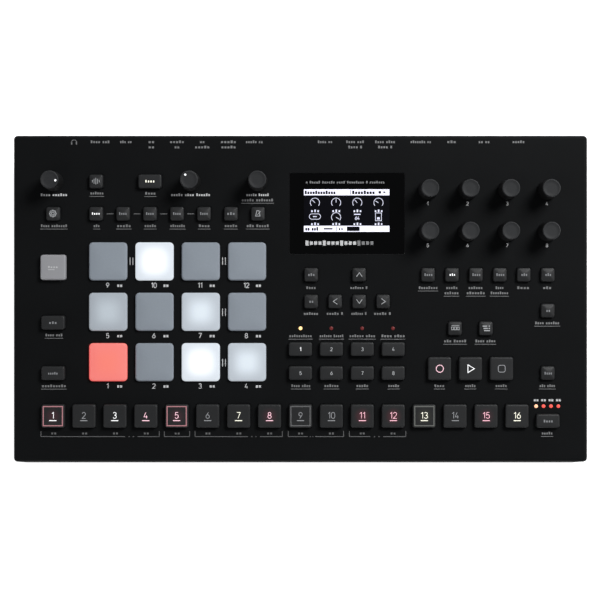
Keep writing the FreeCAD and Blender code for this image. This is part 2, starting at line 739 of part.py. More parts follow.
# Rear sockets
def jack_form():
    """Phone jack: square body behind the wall, threaded bush through it and the plug's bore."""
    block = box("jack_block", "jack_width", "jack_depth", "jack_height", y="-(sheet_t + jack_depth / 2)",
                z="-jack_height / 2")
    root = f"(sheet_t + {SINK})"
    bush = rear_cylinder("jack_bush", "jack_bush_r", f"{root} + jack_nose", "0", f"-{root}", "0")
    floor = "jack_nose - jack_bore_depth"
    bore = rear_cylinder("jack_bore", "jack_bore_r", "jack_bore_depth", "0", floor, "0")
    return cut("jack_form", fuse("jack_outer", [block, bush]), bore)


def jack_nut_form():
    """Flat hexagon nut on the bush, against the rear wall."""
    prism = doc.addObject("Part::Prism", "nut_prism")
    prism.Polygon = 6
    bind(prism, Circumradius=f"{JACK_NUT_ACROSS} / sqrt(3)", Height="jack_nut_t")
    turn(prism, (1, 0, 0), -90)
    start = "-jack_nut_t / 2"
    hole = rear_cylinder("nut_hole", "jack_bush_r + thread_gap", "2 * jack_nut_t", "0", start, "0")
    return cut("jack_nut_form", prism, hole)


def on_rear(form, name, places):
    """The same form at several places of the rear wall."""
    return [put(group(f"{name}_{n}", [form]), x, REAR_FACE, z) for n, (x, z) in enumerate(places)]


def midi_form():
    """Five-pin socket: block against the wall, round recess and pin holes in its floor."""
    block = box("midi_block", "midi_width", "midi_depth", "midi_height", y="-(sheet_t + midi_depth / 2)",
                z="-midi_height / 2")
    floor = "-(sheet_t + midi_recess_depth)"
    cuts = [rear_cylinder("midi_recess", "midi_recess_r", "midi_recess_depth", "0", floor, "0")]
    for angle in MIDI_PIN_ANGLES:
        x = f"midi_pin_circle * sin({angle}deg)"
        z = f"-midi_pin_circle * cos({angle}deg)"
        start = "-(sheet_t + midi_depth - 1)"
        cuts.append(rear_cylinder(f"pin_hole_{angle + 90}", "midi_pin_r", "midi_depth", x, start, z))
    return cut("midi_form", block, group("midi_cuts", cuts))


def usb_socket():
    """Square data socket with its tongue, standing on the main board."""
    middle = f"({MAIN_TOP} + usb_height / 2)"
    front = f"({REAR_FACE} + socket_nose)"
    shell = box("usb_shell", "usb_width", "usb_depth", "usb_height", "usb_x", f"{front} - usb_depth / 2",
                MAIN_TOP)
    hollow_width, hollow_height = "usb_width - 2 * usb_wall", "usb_height - 2 * usb_wall"
    hollow = box("usb_hollow", hollow_width, "usb_hollow_depth", hollow_height, "usb_x",
                 f"{front} - usb_hollow_depth / 2", f"{middle} - ({hollow_height}) / 2")
    length = "usb_hollow_depth - usb_tongue_setback"
    tongue = box("usb_tongue", "usb_tongue_width", length, "usb_tongue_height", "usb_x",
                 f"{front} - usb_tongue_setback - ({length}) / 2", f"{middle} - usb_tongue_height / 2")
    return group("usb_socket", [cut("usb_outer", shell, hollow), tongue])


def power_inlet():
    """Round low-voltage inlet with its centre pin, standing on the main board."""
    block = box("inlet_block", "inlet_width", "inlet_depth", "inlet_height", "inlet_x",
                f"{REAR_INSIDE} - inlet_depth / 2", MAIN_TOP)
    nose = rear_cylinder("inlet_nose", "inlet_nose_r", f"sheet_t + {SINK} + socket_nose", "inlet_x",
                         f"{REAR_INSIDE} - {SINK}", INLET_Z)
    mouth = f"({REAR_FACE} + socket_nose)"
    bore = rear_cylinder("inlet_bore", "inlet_bore_r", "inlet_bore_depth", "inlet_x",
                         f"{mouth} - inlet_bore_depth", INLET_Z)
    pin = rear_cylinder("inlet_pin", "inlet_pin_r", "inlet_bore_depth - inlet_pin_setback", "inlet_x",
                        f"{mouth} - inlet_bore_depth", INLET_Z)
    return group("power_inlet", [cut("inlet_body", fuse("inlet_outer", [block, nose]), bore), pin])


def power_switch():
    """Housing of the power switch, clipped into the rear wall."""
    width, height = f"{POWER_BODY_WIDTH} + 2 * power_flange", f"{POWER_BODY_HEIGHT} + 2 * power_flange"
    flange = box("switch_flange", width, "power_flange_t", height, "power_x",
                 f"{REAR_FACE} + power_flange_t / 2", f"power_z - ({height}) / 2")
    barrel = box("switch_barrel", POWER_BODY_WIDTH, "power_body_depth", POWER_BODY_HEIGHT, "power_x",
                 f"{REAR_FACE} - power_body_depth / 2", f"power_z - {POWER_BODY_HEIGHT} / 2")
    depth = "power_body_depth + power_flange_t - power_floor"
    hollow = box("switch_hollow", POWER_HOLLOW_WIDTH, depth, POWER_HOLLOW_HEIGHT, "power_x",
                 f"{REAR_FACE} + power_flange_t - ({depth}) / 2", f"power_z - {POWER_HOLLOW_HEIGHT} / 2")
    pivot = f"{REAR_FACE} - rocker_pivot_depth"
    span = "rocker_height + 2 * rocker_pin_length + 2 * rocker_gap"
    low = f"power_z - ({span}) / 2"
    socket = cylinder("pivot_socket", "rocker_pin_r + shaft_run_gap", span, "power_x", pivot, low)
    outer = fuse("switch_outer", [flange, barrel])
    return cut("power_switch", outer, group("switch_cuts", [hollow, socket]))


def power_rocker():
    """Rocker with its shallow valley and pivot pins, at rest tipped to its on side."""
    body = doc.addObject("PartDesign::Body", "rocker_block")
    half = "rocker_width / 2"
    profile = [
        (f"-{half}", "rocker_peak"),
        (f"-{half}", "-rocker_bottom / 3"),
        (f"-{half} + rocker_bottom", "-rocker_bottom"),
        (f"{half} - rocker_bottom", "-rocker_bottom"),
        (half, "-rocker_bottom / 3"),
        (half, "rocker_peak"),
        ("0", "rocker_valley"),
    ]
    pad(body, "rocker_fold", outline(body, "rocker_profile", "XY_Plane", profile), "rocker_height", True)
    span = "rocker_height + 2 * rocker_pin_length"
    pin = cylinder("rocker_pin", "rocker_pin_r", span, z=f"-({span}) / 2")
    item = fuse("power_rocker", [body, pin])
    item.Placement = FreeCAD.Placement(FreeCAD.Vector(), FreeCAD.Rotation(FreeCAD.Vector(0, 0, 1), 1))
    bind(item, **{"Placement.Rotation.Angle": "-rocker_tilt * 1deg"})
    return put(item, "power_x", f"{REAR_FACE} - rocker_pivot_depth", "power_z")


def screws():
    """Pan-head machine screws of the floor, the main board and the control board."""
    head = cylinder("screw_head", "screw_head_r", "screw_head_height", z="-screw_head_height")
    length = "screw_length + screw_head_height / 2"
    shank = cylinder("screw_shank", "screw_r", length, z="-screw_head_height / 2")
    socket = cylinder("screw_socket", "screw_socket_r", "screw_socket_depth", z="-screw_head_height")
    form = cut("screw_form", fuse("screw_outer", [head, shank]), socket)
    items = copies(form, "floor_screw", LIP_SCREWS, "foot_height")
    for n, (x, y) in enumerate(MAIN_SCREWS):
        items.append(put(turn(group(f"main_screw_{n}", [form]), (1, 0, 0), 180), x, y, MAIN_TOP))
    level = f"-({BOARD_DROP} + board_t)"
    items.append(put_on_panel(group("control_screws", copies(form, "control_screw", STUDS, level))))
    return group("screws", items)


# Places, as pairs of expressions in the panel frame or on the floor
def step_column(number):
    return f"(step_pitch * {number - MIDDLE_STEP})"


def along(first, pitch, number):
    return f"({first} + {number} * {pitch})"


def pad_places():
    """Pads from the front left, along each row."""
    places = []
    for row in range(PAD_ROWS):
        for column in range(PAD_COLUMNS):
            u = f"{spread_u('pads_middle_u')} + {column - (PAD_COLUMNS - 1) / 2} * {PAD_PITCH_U}"
            v = f"{spread_v('pads_middle_v')} + {row - (PAD_ROWS - 1) / 2} * {PAD_PITCH_V}"
            places.append((u, v))
    return places


def knob_places():
    """Every knob's name and place."""
    places = [
        ("main_volume_knob", (f"-{COLUMN}", spread_v("top_row"))),
        ("performance_knob", (spread_u("scene_knob_u"), spread_v("top_row"))),
        ("track_level_knob", (spread_u("level_knob_u"), spread_v("top_row"))),
    ]
    for number in range(2 * DATA_COLUMNS):
        row, column = divmod(number, DATA_COLUMNS)
        u = f"({COLUMN} - {DATA_COLUMNS - 1 - column} * {spread_u('data_pitch')})"
        v = spread_v(("data_upper_row", "data_lower_row")[row])
        places.append((f"data_knob_{number + 1}", (u, v)))
    return places


def small_key_places():
    first, pitch = spread_u("arrow_first"), spread_u("arrow_pitch")
    places = [(f"-{COLUMN}", "mode_row"), (MODE_FIRST, "top_row")]
    places += [(along(MODE_FIRST, spread_u("mode_pitch"), n), "mode_row") for n in range(MODE_KEYS)]
    places += [(along(first, pitch, n), "arrow_lower_row") for n in range(4)]
    places += [(along(first, pitch, n), "arrow_upper_row") for n in (0, 2)]
    pitch = spread_u("setting_pitch")
    places += [(f"({COLUMN} - {n} * {pitch})", "arrow_upper_row") for n in range(SETTING_KEYS)]
    places += [(COLUMN, "effect_row"), (step_column(13), "chain_row"), (step_column(14), "chain_row")]
    places.append((COLUMN, "bank_lower_row"))
    return [(u, spread_v(row)) for u, row in places]


def wide_key_places():
    places = [(along(MODE_FIRST, spread_u("mode_pitch"), 2), "top_row")]
    places += [(f"-{COLUMN}", "left_upper_row"), (f"-{COLUMN}", "left_lower_row"), (COLUMN, "page_row")]
    places += [(step_column(n), row) for row in ("bank_upper_row", "bank_lower_row") for n in range(8, 12)]
    return [(u, spread_v(row)) for u, row in places]


def light_places():
    places = [(step_column(n), spread_v("bank_light_row")) for n in range(8, 12)]
    level = spread_v("page_light_row")
    return places + [(f"{COLUMN} + {n - 1.5} * page_light_pitch", level) for n in range(4)]


def stud_places():
    """Studs round the control board, clear of the keys."""
    far = f"({BOARD_WIDTH} / 2 - board_rim - stud_r)"
    places = [(u, v) for u in (f"-{far}", far) for v in (STUD_FRONT, "0", STUD_REAR)]
    return places + [("0", STUD_FRONT), (spread_u("(scene_knob_u + level_knob_u) / 2"), STUD_REAR)]


def jack_places():
    """Phone jacks in two storeys, and the single one for headphones."""
    lower = f"({MAIN_TOP} + jack_height / 2)"
    upper = f"({MAIN_TOP} + 3 * jack_height / 2)"
    columns = [along("jack_first_x", JACK_PITCH, n) for n in range(JACK_PAIRS)] + ["pedal_x"]
    return [("headphone_x", lower)] + [(x, z) for x in columns for z in (lower, upper)]


STEP_KEYS = [(step_column(n), spread_v("step_row")) for n in range(STEPS)]
TRANSPORT_KEYS = [(step_column(n + 0.5), spread_v("transport_row")) for n in (12, 13, 14)]
FUNCTION_KEY = (f"-{COLUMN}", spread_v("function_row"))
SMALL_KEYS = small_key_places()
WIDE_KEYS = wide_key_places()
PADS = pad_places()
KNOBS = knob_places()
LIGHTS = light_places()
STUDS = stud_places()
JACKS = jack_places()
MIDI_X = [along("midi_first_x", MIDI_PITCH, n) for n in range(MIDI_SOCKETS)]
MIDI_Z = f"({MAIN_TOP} + midi_height / 2)"
INLET_Z = f"({MAIN_TOP} + inlet_height / 2)"
FEET = [(f"{side} * ({HALF_WIDTH} - foot_inset)", f"{end} * ({HALF_DEPTH} - foot_inset)")
        for side in (-1, 1) for end in (-1, 1)]
LIP_SCREWS = [(f"{side} * {LIP_SCREW_X}", f"{place} * {HALF_DEPTH}")
              for side in (-1, 1) for place in (-0.5, 0.1, 0.7)]
LIP_SCREWS += [(f"{place} * {HALF_WIDTH}", LIP_SCREW_Y) for place in (-0.5, 0, 0.5)]
MAIN_SCREWS = [(f"{side} * (main_width / 2 - main_edge_pad)", f"{REAR_INSIDE} - main_rear_gap - {place}")
               for side in (-1, 0, 1) for place in ("main_edge_pad", "(main_depth - main_edge_pad)")]
STAND_NUTS = [(f"{side} * stand_nut_pitch / 2", f"{end} * stand_nut_pitch / 2")
              for side in (-1, 1) for end in (-1, 1)]


def panel_copies(form, named_places):
    """One named piece of the same form for each place in the panel."""
    return [put_on_panel(group(name, [form]), u, v) for name, (u, v) in named_places]


def moving_pieces():
    """Every piece that travels or turns."""
    square = key_form("square_key_form", "square_key", "square_key")
    wide = key_form("wide_key_form", "square_key", "wide_key_depth")
    small = key_form("small_key_form", "small_key", "small_key")
    function = key_form("function_key_form", "function_key", "function_key")
    steps = [(f"step_key_{n:02d}", place) for n, place in enumerate(STEP_KEYS, start=1)]
    transport = list(zip(("record_key", "play_key", "stop_key"), TRANSPORT_KEYS))
    pads = [(f"pad_{n:02d}", place) for n, place in enumerate(PADS, start=1)]
    pieces = panel_copies(square, steps + transport)
    pieces += panel_copies(function, [("function_key", FUNCTION_KEY)])
    pieces += panel_copies(pad_form(), pads)
    pieces += panel_copies(knob_form(), KNOBS)
    pieces.append(put_on_panel(group("small_keys", copies(small, "small_key", SMALL_KEYS))))
    pieces.append(put_on_panel(group("wide_keys", copies(wide, "wide_key", WIDE_KEYS))))
    return pieces + [power_rocker()]


def fixed_pieces():
    """Everything that stays still."""
    midi = [(x, MIDI_Z) for x in MIDI_X]
    sockets = [
        group("phone_jacks", on_rear(jack_form(), "jack", JACKS)),
        group("jack_nuts", on_rear(jack_nut_form(), "jack_nut", JACKS)),
        group("midi_sockets", on_rear(midi_form(), "midi_socket", midi)),
        usb_socket(),
        power_inlet(),
        power_switch(),
    ]
    case = [top_panel(), bottom_case(), rubber_feet()]
    return [*case, control_board(), main_board(), *display(), *sockets, screws()]


def check(pieces):
    """Stop where any object failed or any sub-part has no sound shape."""
    failed = [item.Label for item in doc.Objects if "Invalid" in item.State or "Error" in item.State]
    unsound = [item.Label for item in pieces if item.Shape.isNull() or not item.Shape.isValid()]
    if failed or unsound:
        raise RuntimeError(f"failed: {failed}, unsound: {unsound}")


def centre(pieces):
    """Bring the middle of the whole object, jack noses included, over the origin."""
    for piece in pieces:
        across = dict(piece.ExpressionEngine).get(".Placement.Base.y", "0")
        piece.setExpression("Placement.Base.y", f"{across} + {cells(MIDDLE_SHIFT)}")


def main():
    fill_sheet()
    pieces = fixed_pieces() + moving_pieces()
    centre(pieces)
    doc.recompute()
    check(pieces)
    os.makedirs("parts", exist_ok=True)
    for piece in pieces:
        piece.Shape.exportStep(f"parts/{piece.Label}.step")


main()
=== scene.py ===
"""Looks of the desktop drum machine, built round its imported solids.

Panel frame: u right, v up the slope and w out of the panel, millimetres from the middle of its top face.
"""
import math

import bpy
from mathutils import Matrix, Vector


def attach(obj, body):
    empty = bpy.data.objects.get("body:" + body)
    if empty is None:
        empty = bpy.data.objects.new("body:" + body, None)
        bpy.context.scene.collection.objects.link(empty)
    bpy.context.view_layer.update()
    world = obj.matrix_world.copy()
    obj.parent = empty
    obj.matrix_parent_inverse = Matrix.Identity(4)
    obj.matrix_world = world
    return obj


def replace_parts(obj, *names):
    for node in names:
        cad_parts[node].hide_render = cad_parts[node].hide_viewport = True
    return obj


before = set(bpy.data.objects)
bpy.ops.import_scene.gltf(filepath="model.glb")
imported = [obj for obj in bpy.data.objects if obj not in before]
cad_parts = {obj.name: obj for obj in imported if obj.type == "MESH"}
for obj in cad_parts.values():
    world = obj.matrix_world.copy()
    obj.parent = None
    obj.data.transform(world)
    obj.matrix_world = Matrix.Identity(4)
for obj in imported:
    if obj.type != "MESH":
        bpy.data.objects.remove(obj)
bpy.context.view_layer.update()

MM = 0.001
TILT = math.radians(7)
PANEL_MIDDLE = (0, -0.00175, 0.053845)
REAR_FACE = 0.105434
PANEL = Matrix.Translation(PANEL_MIDDLE) @ Matrix.Rotation(TILT, 4, "X")
# Seen from behind: u to the viewer's right, v up and w to the rear
FACING_REAR = Matrix(((-1, 0, 0, 0), (0, 0, 1, 0), (0, 1, 0, 0), (0, 0, 0, 1)))
REAR = Matrix.Translation((0, REAR_FACE, 0)) @ FACING_REAR

# Heights over the panel
INK_LEVEL = 0.05
KEY_TOP = 3.8
KEY_LEGEND = 3.84
CROWNED_KEY_LEGEND = 3.86
KEY_FRAME = 3.83
KNOB_TOP = 17.87
CAPTION_HEIGHT = 1.75

# Where the controls sit, as in the solids
STEP_PITCH = 20.675
FIRST = -8 * STEP_PITCH
STEP_ROW = -78.7
STEPS = [(FIRST + n * STEP_PITCH, STEP_ROW) for n in range(16)]
PADS = [(u, v) for v in (-42.8, -9.05, 24.7) for u in (-128.8, -97.8, -66.8, -35.8)]
MODES = [(-136.7 + 18.04 * n, 56.6) for n in range(7)]
SETTINGS = [(165.4 - 16 * n, 15.8) for n in (5, 4, 3, 2, 1, 0)]
ARROWS = {"right": (55.35, -2.1), "up": (39.3, 15.8), "left": (23.25, -2.1), "down": (39.3, -2.1)}
ANSWERS = [(7.2, 15.8), (7.2, -2.1)]
CHAINS = [(5 * STEP_PITCH, -20.1), (6 * STEP_PITCH, -20.1)]
BANKS = [(n * STEP_PITCH, v) for v in (-34.0, -50.0) for n in range(4)]
TRANSPORT = {"record_key": 93.04, "play_key": 113.71, "stop_key": 134.39}
TRANSPORT_ROW = -47.0
GEAR, BARS, EFFECT, FILL = (-165.4, 56.6), (-136.7, 78.2), (165.4, -8.2), (165.4, -50.0)
MUTE, LEFT_UPPER, LEFT_LOWER, PAGE = (-100.62, 78.2), (-165.4, -16.3), (-165.4, -50.1), (165.4, -82.0)
FUNCTION = (-165.4, 20.7)
SCREEN = (30.95, 58.8)
SMALL_KEYS = [GEAR, BARS, *MODES, *ARROWS.values(), *ANSWERS, *SETTINGS, EFFECT, *CHAINS, FILL]
WIDE_KEYS = [MUTE, LEFT_UPPER, LEFT_LOWER, PAGE, *BANKS]
DATA_KNOBS = [(85.51 + 26.63 * n, v) for v in (72.6, 44.6) for n in range(4)]
KNOBS = {
    "main_volume_knob": (-165.4, 78.2),
    "performance_knob": (-73.5, 78.2),
    "track_level_knob": (-28.5, 78.2),
}
KNOBS.update({f"data_knob_{n}": place for n, place in enumerate(DATA_KNOBS, start=1)})
BANK_LIGHTS = [(n * STEP_PITCH, -20.1) for n in range(4)]
PAGE_LIGHTS = [(165.4 + (n - 1.5) * 4.97, -72.3) for n in range(4)]

# Where the rear sockets sit, seen from behind
LOWER_JACKS, UPPER_JACKS = 21.2, 40.0
JACK_PAIRS = (134.3, 117.1, 99.9, 82.7, 65.5, 48.3, 31.1, -80.4)
JACKS = [(151.8, LOWER_JACKS)]
JACKS += [(u, v) for u in JACK_PAIRS for v in (LOWER_JACKS, UPPER_JACKS)]
FIVE_PIN_SOCKETS = [(u, 21.8) for u in (-16.6, -36.55, -56.5)]
DATA_SOCKET = -101.2
POWER_INLET = (-123.0, 17.55)

# Printed captions: middle, width, marks in each word, underlined or not. None at the rear edge is underlined
CAPTIONS = [
    (-165.3, 69.4, 18.1, (4, 6), False), (-136.5, 70.5, 9.1, (6,), True), (-100.7, 70.4, 7.4, (4,), True),
    (-73.7, 69.4, 26.5, (5, 4, 6), False), (-28.8, 69.4, 15.4, (5, 5), False),
    (-28.9, 65.9, 21.3, (5, 7), True),
    (-165.3, 48.6, 17.9, (4, 7), True), (-136.7, 48.6, 4.2, (3,), True), (-118.4, 48.6, 9.6, (5,), True),
    (-100.7, 48.6, 8.0, (5,), True), (-82.4, 48.6, 10.1, (7,), True), (-64.6, 48.6, 7.7, (4,), True),
    (-46.7, 48.6, 8.7, (5,), True), (-28.7, 48.6, 15.2, (3, 5), True), (7.0, 7.1, 6.7, (4,), False),
    (39.1, 7.1, 11.8, (6, 1), False), (7.0, -10.2, 9.9, (6,), False), (23.0, -10.2, 11.3, (5, 1), False),
    (39.1, -10.2, 10.5, (6, 1), False), (54.9, -10.2, 11.7, (5, 1), False), (0.0, -25.2, 15.4, (10,), True),
    (20.8, -25.2, 16.2, (6, 5), True), (41.4, -25.2, 17.6, (6, 4), True), (62.0, -25.2, 16.1, (4, 4), True),
    (85.5, 7.1, 13.0, (8,), True), (101.4, 7.1, 7.9, (5,), False), (101.2, 3.6, 9.8, (6,), True),
    (117.3, 7.1, 9.7, (6,), False), (117.4, 3.6, 12.6, (7,), True), (133.4, 7.1, 5.6, (4,), False),
    (133.3, 3.6, 12.1, (8,), True), (149.2, 7.1, 8.5, (4,), False), (165.3, 7.1, 5.9, (3,), False),
    (165.3, -16.5, 16.5, (4, 6), True), (103.6, -28.6, 15.3, (3, 5), True),
    (123.9, -28.6, 13.7, (4, 4), True),
    (-165.3, -24.6, 11.7, (4, 3), True), (-165.3, -58.7, 16.5, (9,), True), (0.2, -58.6, 13.0, (4, 4), True),
    (20.7, -58.6, 9.8, (6,), True), (41.4, -58.6, 8.2, (5,), True), (62.4, -58.6, 7.7, (5,), True),
    (93.0, -58.6, 7.0, (4,), True), (113.8, -58.6, 7.3, (5,), True), (134.5, -58.6, 7.8, (5,), True),
    (165.4, -58.6, 10.6, (3, 4), True), (165.3, -90.4, 7.5, (5,), True),
]
# The main volume, performance and track level captions
BOLD_CAPTIONS = (0, 3, 4)
REAR_CAPTIONS = [
    (-134.4, 104.9, 13.0, (4, 3)), (-117.1, 104.9, 8.1, (3, 2)), (-100.0, 104.9, 4.4, (2,)),
    (-100.0, 101.4, 4.4, (2,)), (-82.8, 104.9, 9.8, (5,)), (-82.8, 101.4, 3.7, (2,)),
    (-65.9, 104.9, 3.4, (2,)), (-65.9, 101.4, 10.1, (5,)), (-48.3, 104.9, 10.7, (5,)),
    (-48.3, 101.4, 10.1, (5,)), (-31.0, 104.9, 11.7, (5, 2)), (16.4, 104.9, 10.1, (4, 2)),
    (36.5, 104.9, 12.4, (4, 3)), (36.6, 101.4, 9.7, (4, 1)), (56.6, 104.9, 13.7, (4, 4)),
    (56.7, 101.4, 9.9, (4, 1)), (80.6, 104.9, 14.1, (7, 2)), (101.2, 104.9, 6.3, (3,)),
    (123.0, 104.9, 7.7, (2, 2)), (146.1, 104.9, 8.3, (5,)),
]


# Finishes
class Signal:
    """A socket of a finish that Python's operators work on."""

    def __init__(self, finish, socket):
        self.finish = finish
        self.socket = socket

    def maths(self, operation, *terms):
        return self.finish.node("Math", {"operation": operation}, dict(enumerate(terms)))

    def __add__(self, other):
        return self.maths("ADD", self, other)

    def __sub__(self, other):
        return self.maths("SUBTRACT", self, other)

    def __mul__(self, other):
        return self.maths("MULTIPLY", self, other)

    def __truediv__(self, other):
        return self.maths("DIVIDE", self, other)

    def __pow__(self, other):
        return self.maths("POWER", self, other)

    def __abs__(self):
        return self.maths("ABSOLUTE", self)

    __radd__ = __add__
    __rmul__ = __mul__

    def within(self, low, high):
        """How far the number is from low to high, eased and held between 0 and 1."""
        ease = {"interpolation_type": "SMOOTHSTEP"}
        return self.finish.node("MapRange", ease, {"Value": self, "From Min": low, "From Max": high})


class Finish:
    """A material with one shader, and the nodes that vary it over the surface."""

    def __init__(self, name, **constants):
        self.material = bpy.data.materials.new(name)
        self.material.use_nodes = True
        self.tree = self.material.node_tree
        self.shader = self.tree.nodes["Principled BSDF"]
        for key, value in constants.items():
            self.set({key.replace("_", " ").title().replace("Ior", "IOR"): value})

    def feed(self, socket, value):
        if isinstance(value, Signal):
            self.tree.links.new(value.socket, socket)
        elif isinstance(value, tuple) and len(value) == 3 and socket.type == "RGBA":
            socket.default_value = (*value, 1)
        else:
            socket.default_value = value

    def node(self, kind, settings=None, values=None, output=0):
        """A node with its settings made first, then the values or links of its sockets."""
        node = self.tree.nodes.new("ShaderNode" + kind)
        for name, setting in (settings or {}).items():
            setattr(node, name, setting)
        for name, value in (values or {}).items():
            self.feed(node.inputs[name], value)
        return Signal(self, node.outputs[output])

    def set(self, values):
        for name, value in values.items():
            self.feed(self.shader.inputs[name], value)

    def place(self):
        return self.node("TexCoord", output="Object")

    def axes(self, scale=1000):
        """Millimetres along the piece's own three axes."""
        apart = self.node("SeparateXYZ", None, {0: self.place()})
        return [Signal(self, apart.socket.node.outputs[n]) * scale for n in range(3)]

    def noise(self, scale, detail=2, roughness=0.5):
        values = {"Vector": self.place(), "Scale": scale, "Detail": detail, "Roughness": roughness}
        return self.node("TexNoise", None, values)

    def mix(self, share, first, second):
        return self.node("Mix", {"data_type": "RGBA"}, {0: share, 6: first, 7: second}, 2)

    def bump(self, height, depth, strength=1.0):
        """A surface normal from a height of 0 to 1 that stands for depth millimetres."""
        return self.node("Bump", None, {"Height": height, "Distance": depth * MM, "Strength": strength})


def grained(name, dark, light, rough, grain, depth, **constants):
    """A moulded or coated surface: slow colour drift, fine grain and a little unevenness in its gloss."""
    finish = Finish(name, **constants)
    fine = finish.noise(grain, 3, 0.6)
    drift = finish.noise(22, 2) * 0.6 + fine * 0.4
    finish.set({
        "Base Color": finish.mix(drift.within(0.3, 0.7), dark, light),
        "Roughness": rough + (finish.noise(90, 2) - 0.5) * 0.12,
        "Normal": finish.bump(fine, depth),
    })
    return finish


def pad_rubber(name, body, middle, edge):
    """Translucent rubber lit from behind its middle, with painted shade on the flange below the panel."""
    dark, light = (tuple(share * part for part in body) for share in (0.96, 1.04))
    finish = grained(name, dark, light, 0.62, 900, 0.02, specular_ior_level=0.3, emission_strength=1.0)
    u, v, _ = finish.axes()
    spread = ((abs(u) / 12.5) ** 2.6 + (abs(v) / 12.5) ** 2.6) ** 0.3846
    finish.set({"Emission Color": finish.mix(spread.within(0.12, 1.05), middle, edge)})
    darken_skirt(finish)
    return finish


def darken_skirt(finish):
    """Paint shade on the colour below the panel: it falls to black where a flange shows in the gap."""
    unshaded = finish.axes()[2].within(-1.3, -0.4)
    for name in ("Base Color", "Emission Color"):
        socket = finish.shader.inputs[name]
        if socket.links:
            above = Signal(finish, socket.links[0].from_socket)
            # Painted shade: near-black colour and no glow below the panel level
            finish.set({name: finish.mix(unshaded, (0.004, 0.004, 0.004), above)})


def key_plastic(name, glow=(0, 0, 0), reach=7.0):
    """Satin key plastic that takes a little of its legend's light."""
    finish = grained(name, (0.0185, 0.0195, 0.0205), (0.0215, 0.0228, 0.024), 0.5, 1500, 0.012,
                     specular_ior_level=0.42, emission_strength=1.0)
    u, v, _ = finish.axes()
    away = (u ** 2 + v ** 2) ** 0.5
    finish.set({"Emission Color": finish.mix(away.within(0.5, reach), glow, (0, 0, 0))})
    return finish


def knob_rubber():
    """Soft black rubber, with painted shade: the sides below the flat tops are much darker."""
    finish = grained("knob_rubber", (0.026, 0.0275, 0.0295), (0.031, 0.0325, 0.0345), 0.62, 1300, 0.015,
                     specular_ior_level=0.3)
    _, y, z = finish.axes()
    middle_y, middle_z = PANEL_MIDDLE[1] / MM, PANEL_MIDDLE[2] / MM
    height = (z - middle_z) * math.cos(TILT) - (y - middle_y) * math.sin(TILT)
    top = Signal(finish, finish.shader.inputs["Base Color"].links[0].from_socket)
    # Painted shade: the knob's sides go near black below its flat top
    finish.set({"Base Color": finish.mix(height.within(16.9, 17.7), (0.006, 0.0062, 0.0066), top)})
    return finish


def lit(name, colour, strength=1.0):
    """A translucent legend or lens with light behind it, a little uneven from end to end."""
    finish = Finish(name, roughness=0.45, emission_strength=strength)
    share = finish.noise(260, 1).within(0.2, 0.8)
    dimmer = tuple(0.88 * part for part in colour)
    for name in ("Base Color", "Emission Color"):
        finish.set({name: finish.mix(share, dimmer, colour)})
    return finish


def ink(name, colour):
    """Screen-printed ink, slightly broken at its finest grain."""
    darker = tuple(0.8 * part for part in colour)
    return grained(name, darker, colour, 0.6, 2600, 0.006, specular_ior_level=0.3)


def window_black():
    """Glossy pane, tinted almost black, with the faint wipe marks of real glass."""
    finish = Finish("window_black", base_color=(0.0008, 0.0009, 0.001), specular_ior_level=0.15,
                    coat_weight=0.2, coat_roughness=0.03)
    wipe = finish.noise(35, 4, 0.7)
    finish.set({"Roughness": 0.05 + wipe * 0.05})
    return finish


def board_green():
    """Circuit board: solder mask with fine tracks, and dark parts standing on it."""
    finish = Finish("board_green", specular_ior_level=0.5)
    tracks = finish.node("TexBrick", {"offset": 0.5}, {
        "Vector": finish.place(), "Scale": 160, "Mortar Size": 0.04, "Color1": (0.012, 0.075, 0.03),
        "Color2": (0.01, 0.06, 0.026), "Mortar": (0.03, 0.13, 0.05)})
    drift = finish.noise(70, 3)
    finish.set({
        "Base Color": finish.mix(drift * 0.4, tracks, (0.02, 0.02, 0.02)),
        "Roughness": 0.3 + drift * 0.2,
    })
    return finish


def brushed_metal(name, dark, light, rough, stretch=(1, 1, 1)):
    """Plated or brushed metal with fine lines along its length."""
    finish = Finish(name, metallic=1.0)
    along = finish.node("Mapping", {"vector_type": "POINT"}, {"Vector": finish.place(), "Scale": stretch})
    lines = finish.node("TexNoise", None, {"Vector": along, "Scale": 900, "Detail": 3})
    finish.set({
        "Base Color": finish.mix(lines, dark, light),
        "Roughness": rough + lines * 0.15,
        "Normal": finish.bump(lines, 0.006),
    })
    return finish


STEEL = grained("powder_coated_steel", (0.0062, 0.0068, 0.0073), (0.0076, 0.0083, 0.009), 0.6, 1100, 0.03,
                specular_ior_level=0.08)
KEY = key_plastic("key_plastic")
PALE_KEY = grained("pale_key_plastic", (0.395, 0.4, 0.42), (0.42, 0.425, 0.445), 0.45, 1500, 0.012)
# Painted shade on the function key's flange, where it shows in the gap below the panel
darken_skirt(PALE_KEY)
KNOB = knob_rubber()
PLASTIC = grained("black_moulding", (0.008, 0.008, 0.009), (0.013, 0.013, 0.014), 0.42, 800, 0.02)
FOOT = grained("foot_rubber", (0.012, 0.012, 0.012), (0.02, 0.02, 0.02), 0.8, 500, 0.05)
NICKEL = brushed_metal("nickel_plate", (0.5, 0.49, 0.47), (0.66, 0.65, 0.62), 0.22)
BLACK_ZINC = brushed_metal("black_zinc", (0.03, 0.03, 0.032), (0.06, 0.06, 0.064), 0.35)
MODULE_STEEL = brushed_metal("module_frame", (0.3, 0.3, 0.31), (0.42, 0.42, 0.43), 0.35, (1, 12, 12))
BOARD = board_green()
PANE = window_black()
CAPTION_INK = ink("caption_ink", (0.29, 0.295, 0.3))
PALE_INK = ink("pale_ink", (0.8, 0.81, 0.82))
DIM_INK = ink("dim_ink", (0.2, 0.203, 0.207))
GOLD = brushed_metal("gold_contact", (0.62, 0.45, 0.17), (0.78, 0.6, 0.26), 0.25)
LIT_WHITE = lit("lit_white", (0.86, 0.87, 0.88))
LIT_DIM = lit("lit_dim", (0.2, 0.205, 0.215))
LIT_SOFT = lit("lit_soft", (0.25, 0.258, 0.266))
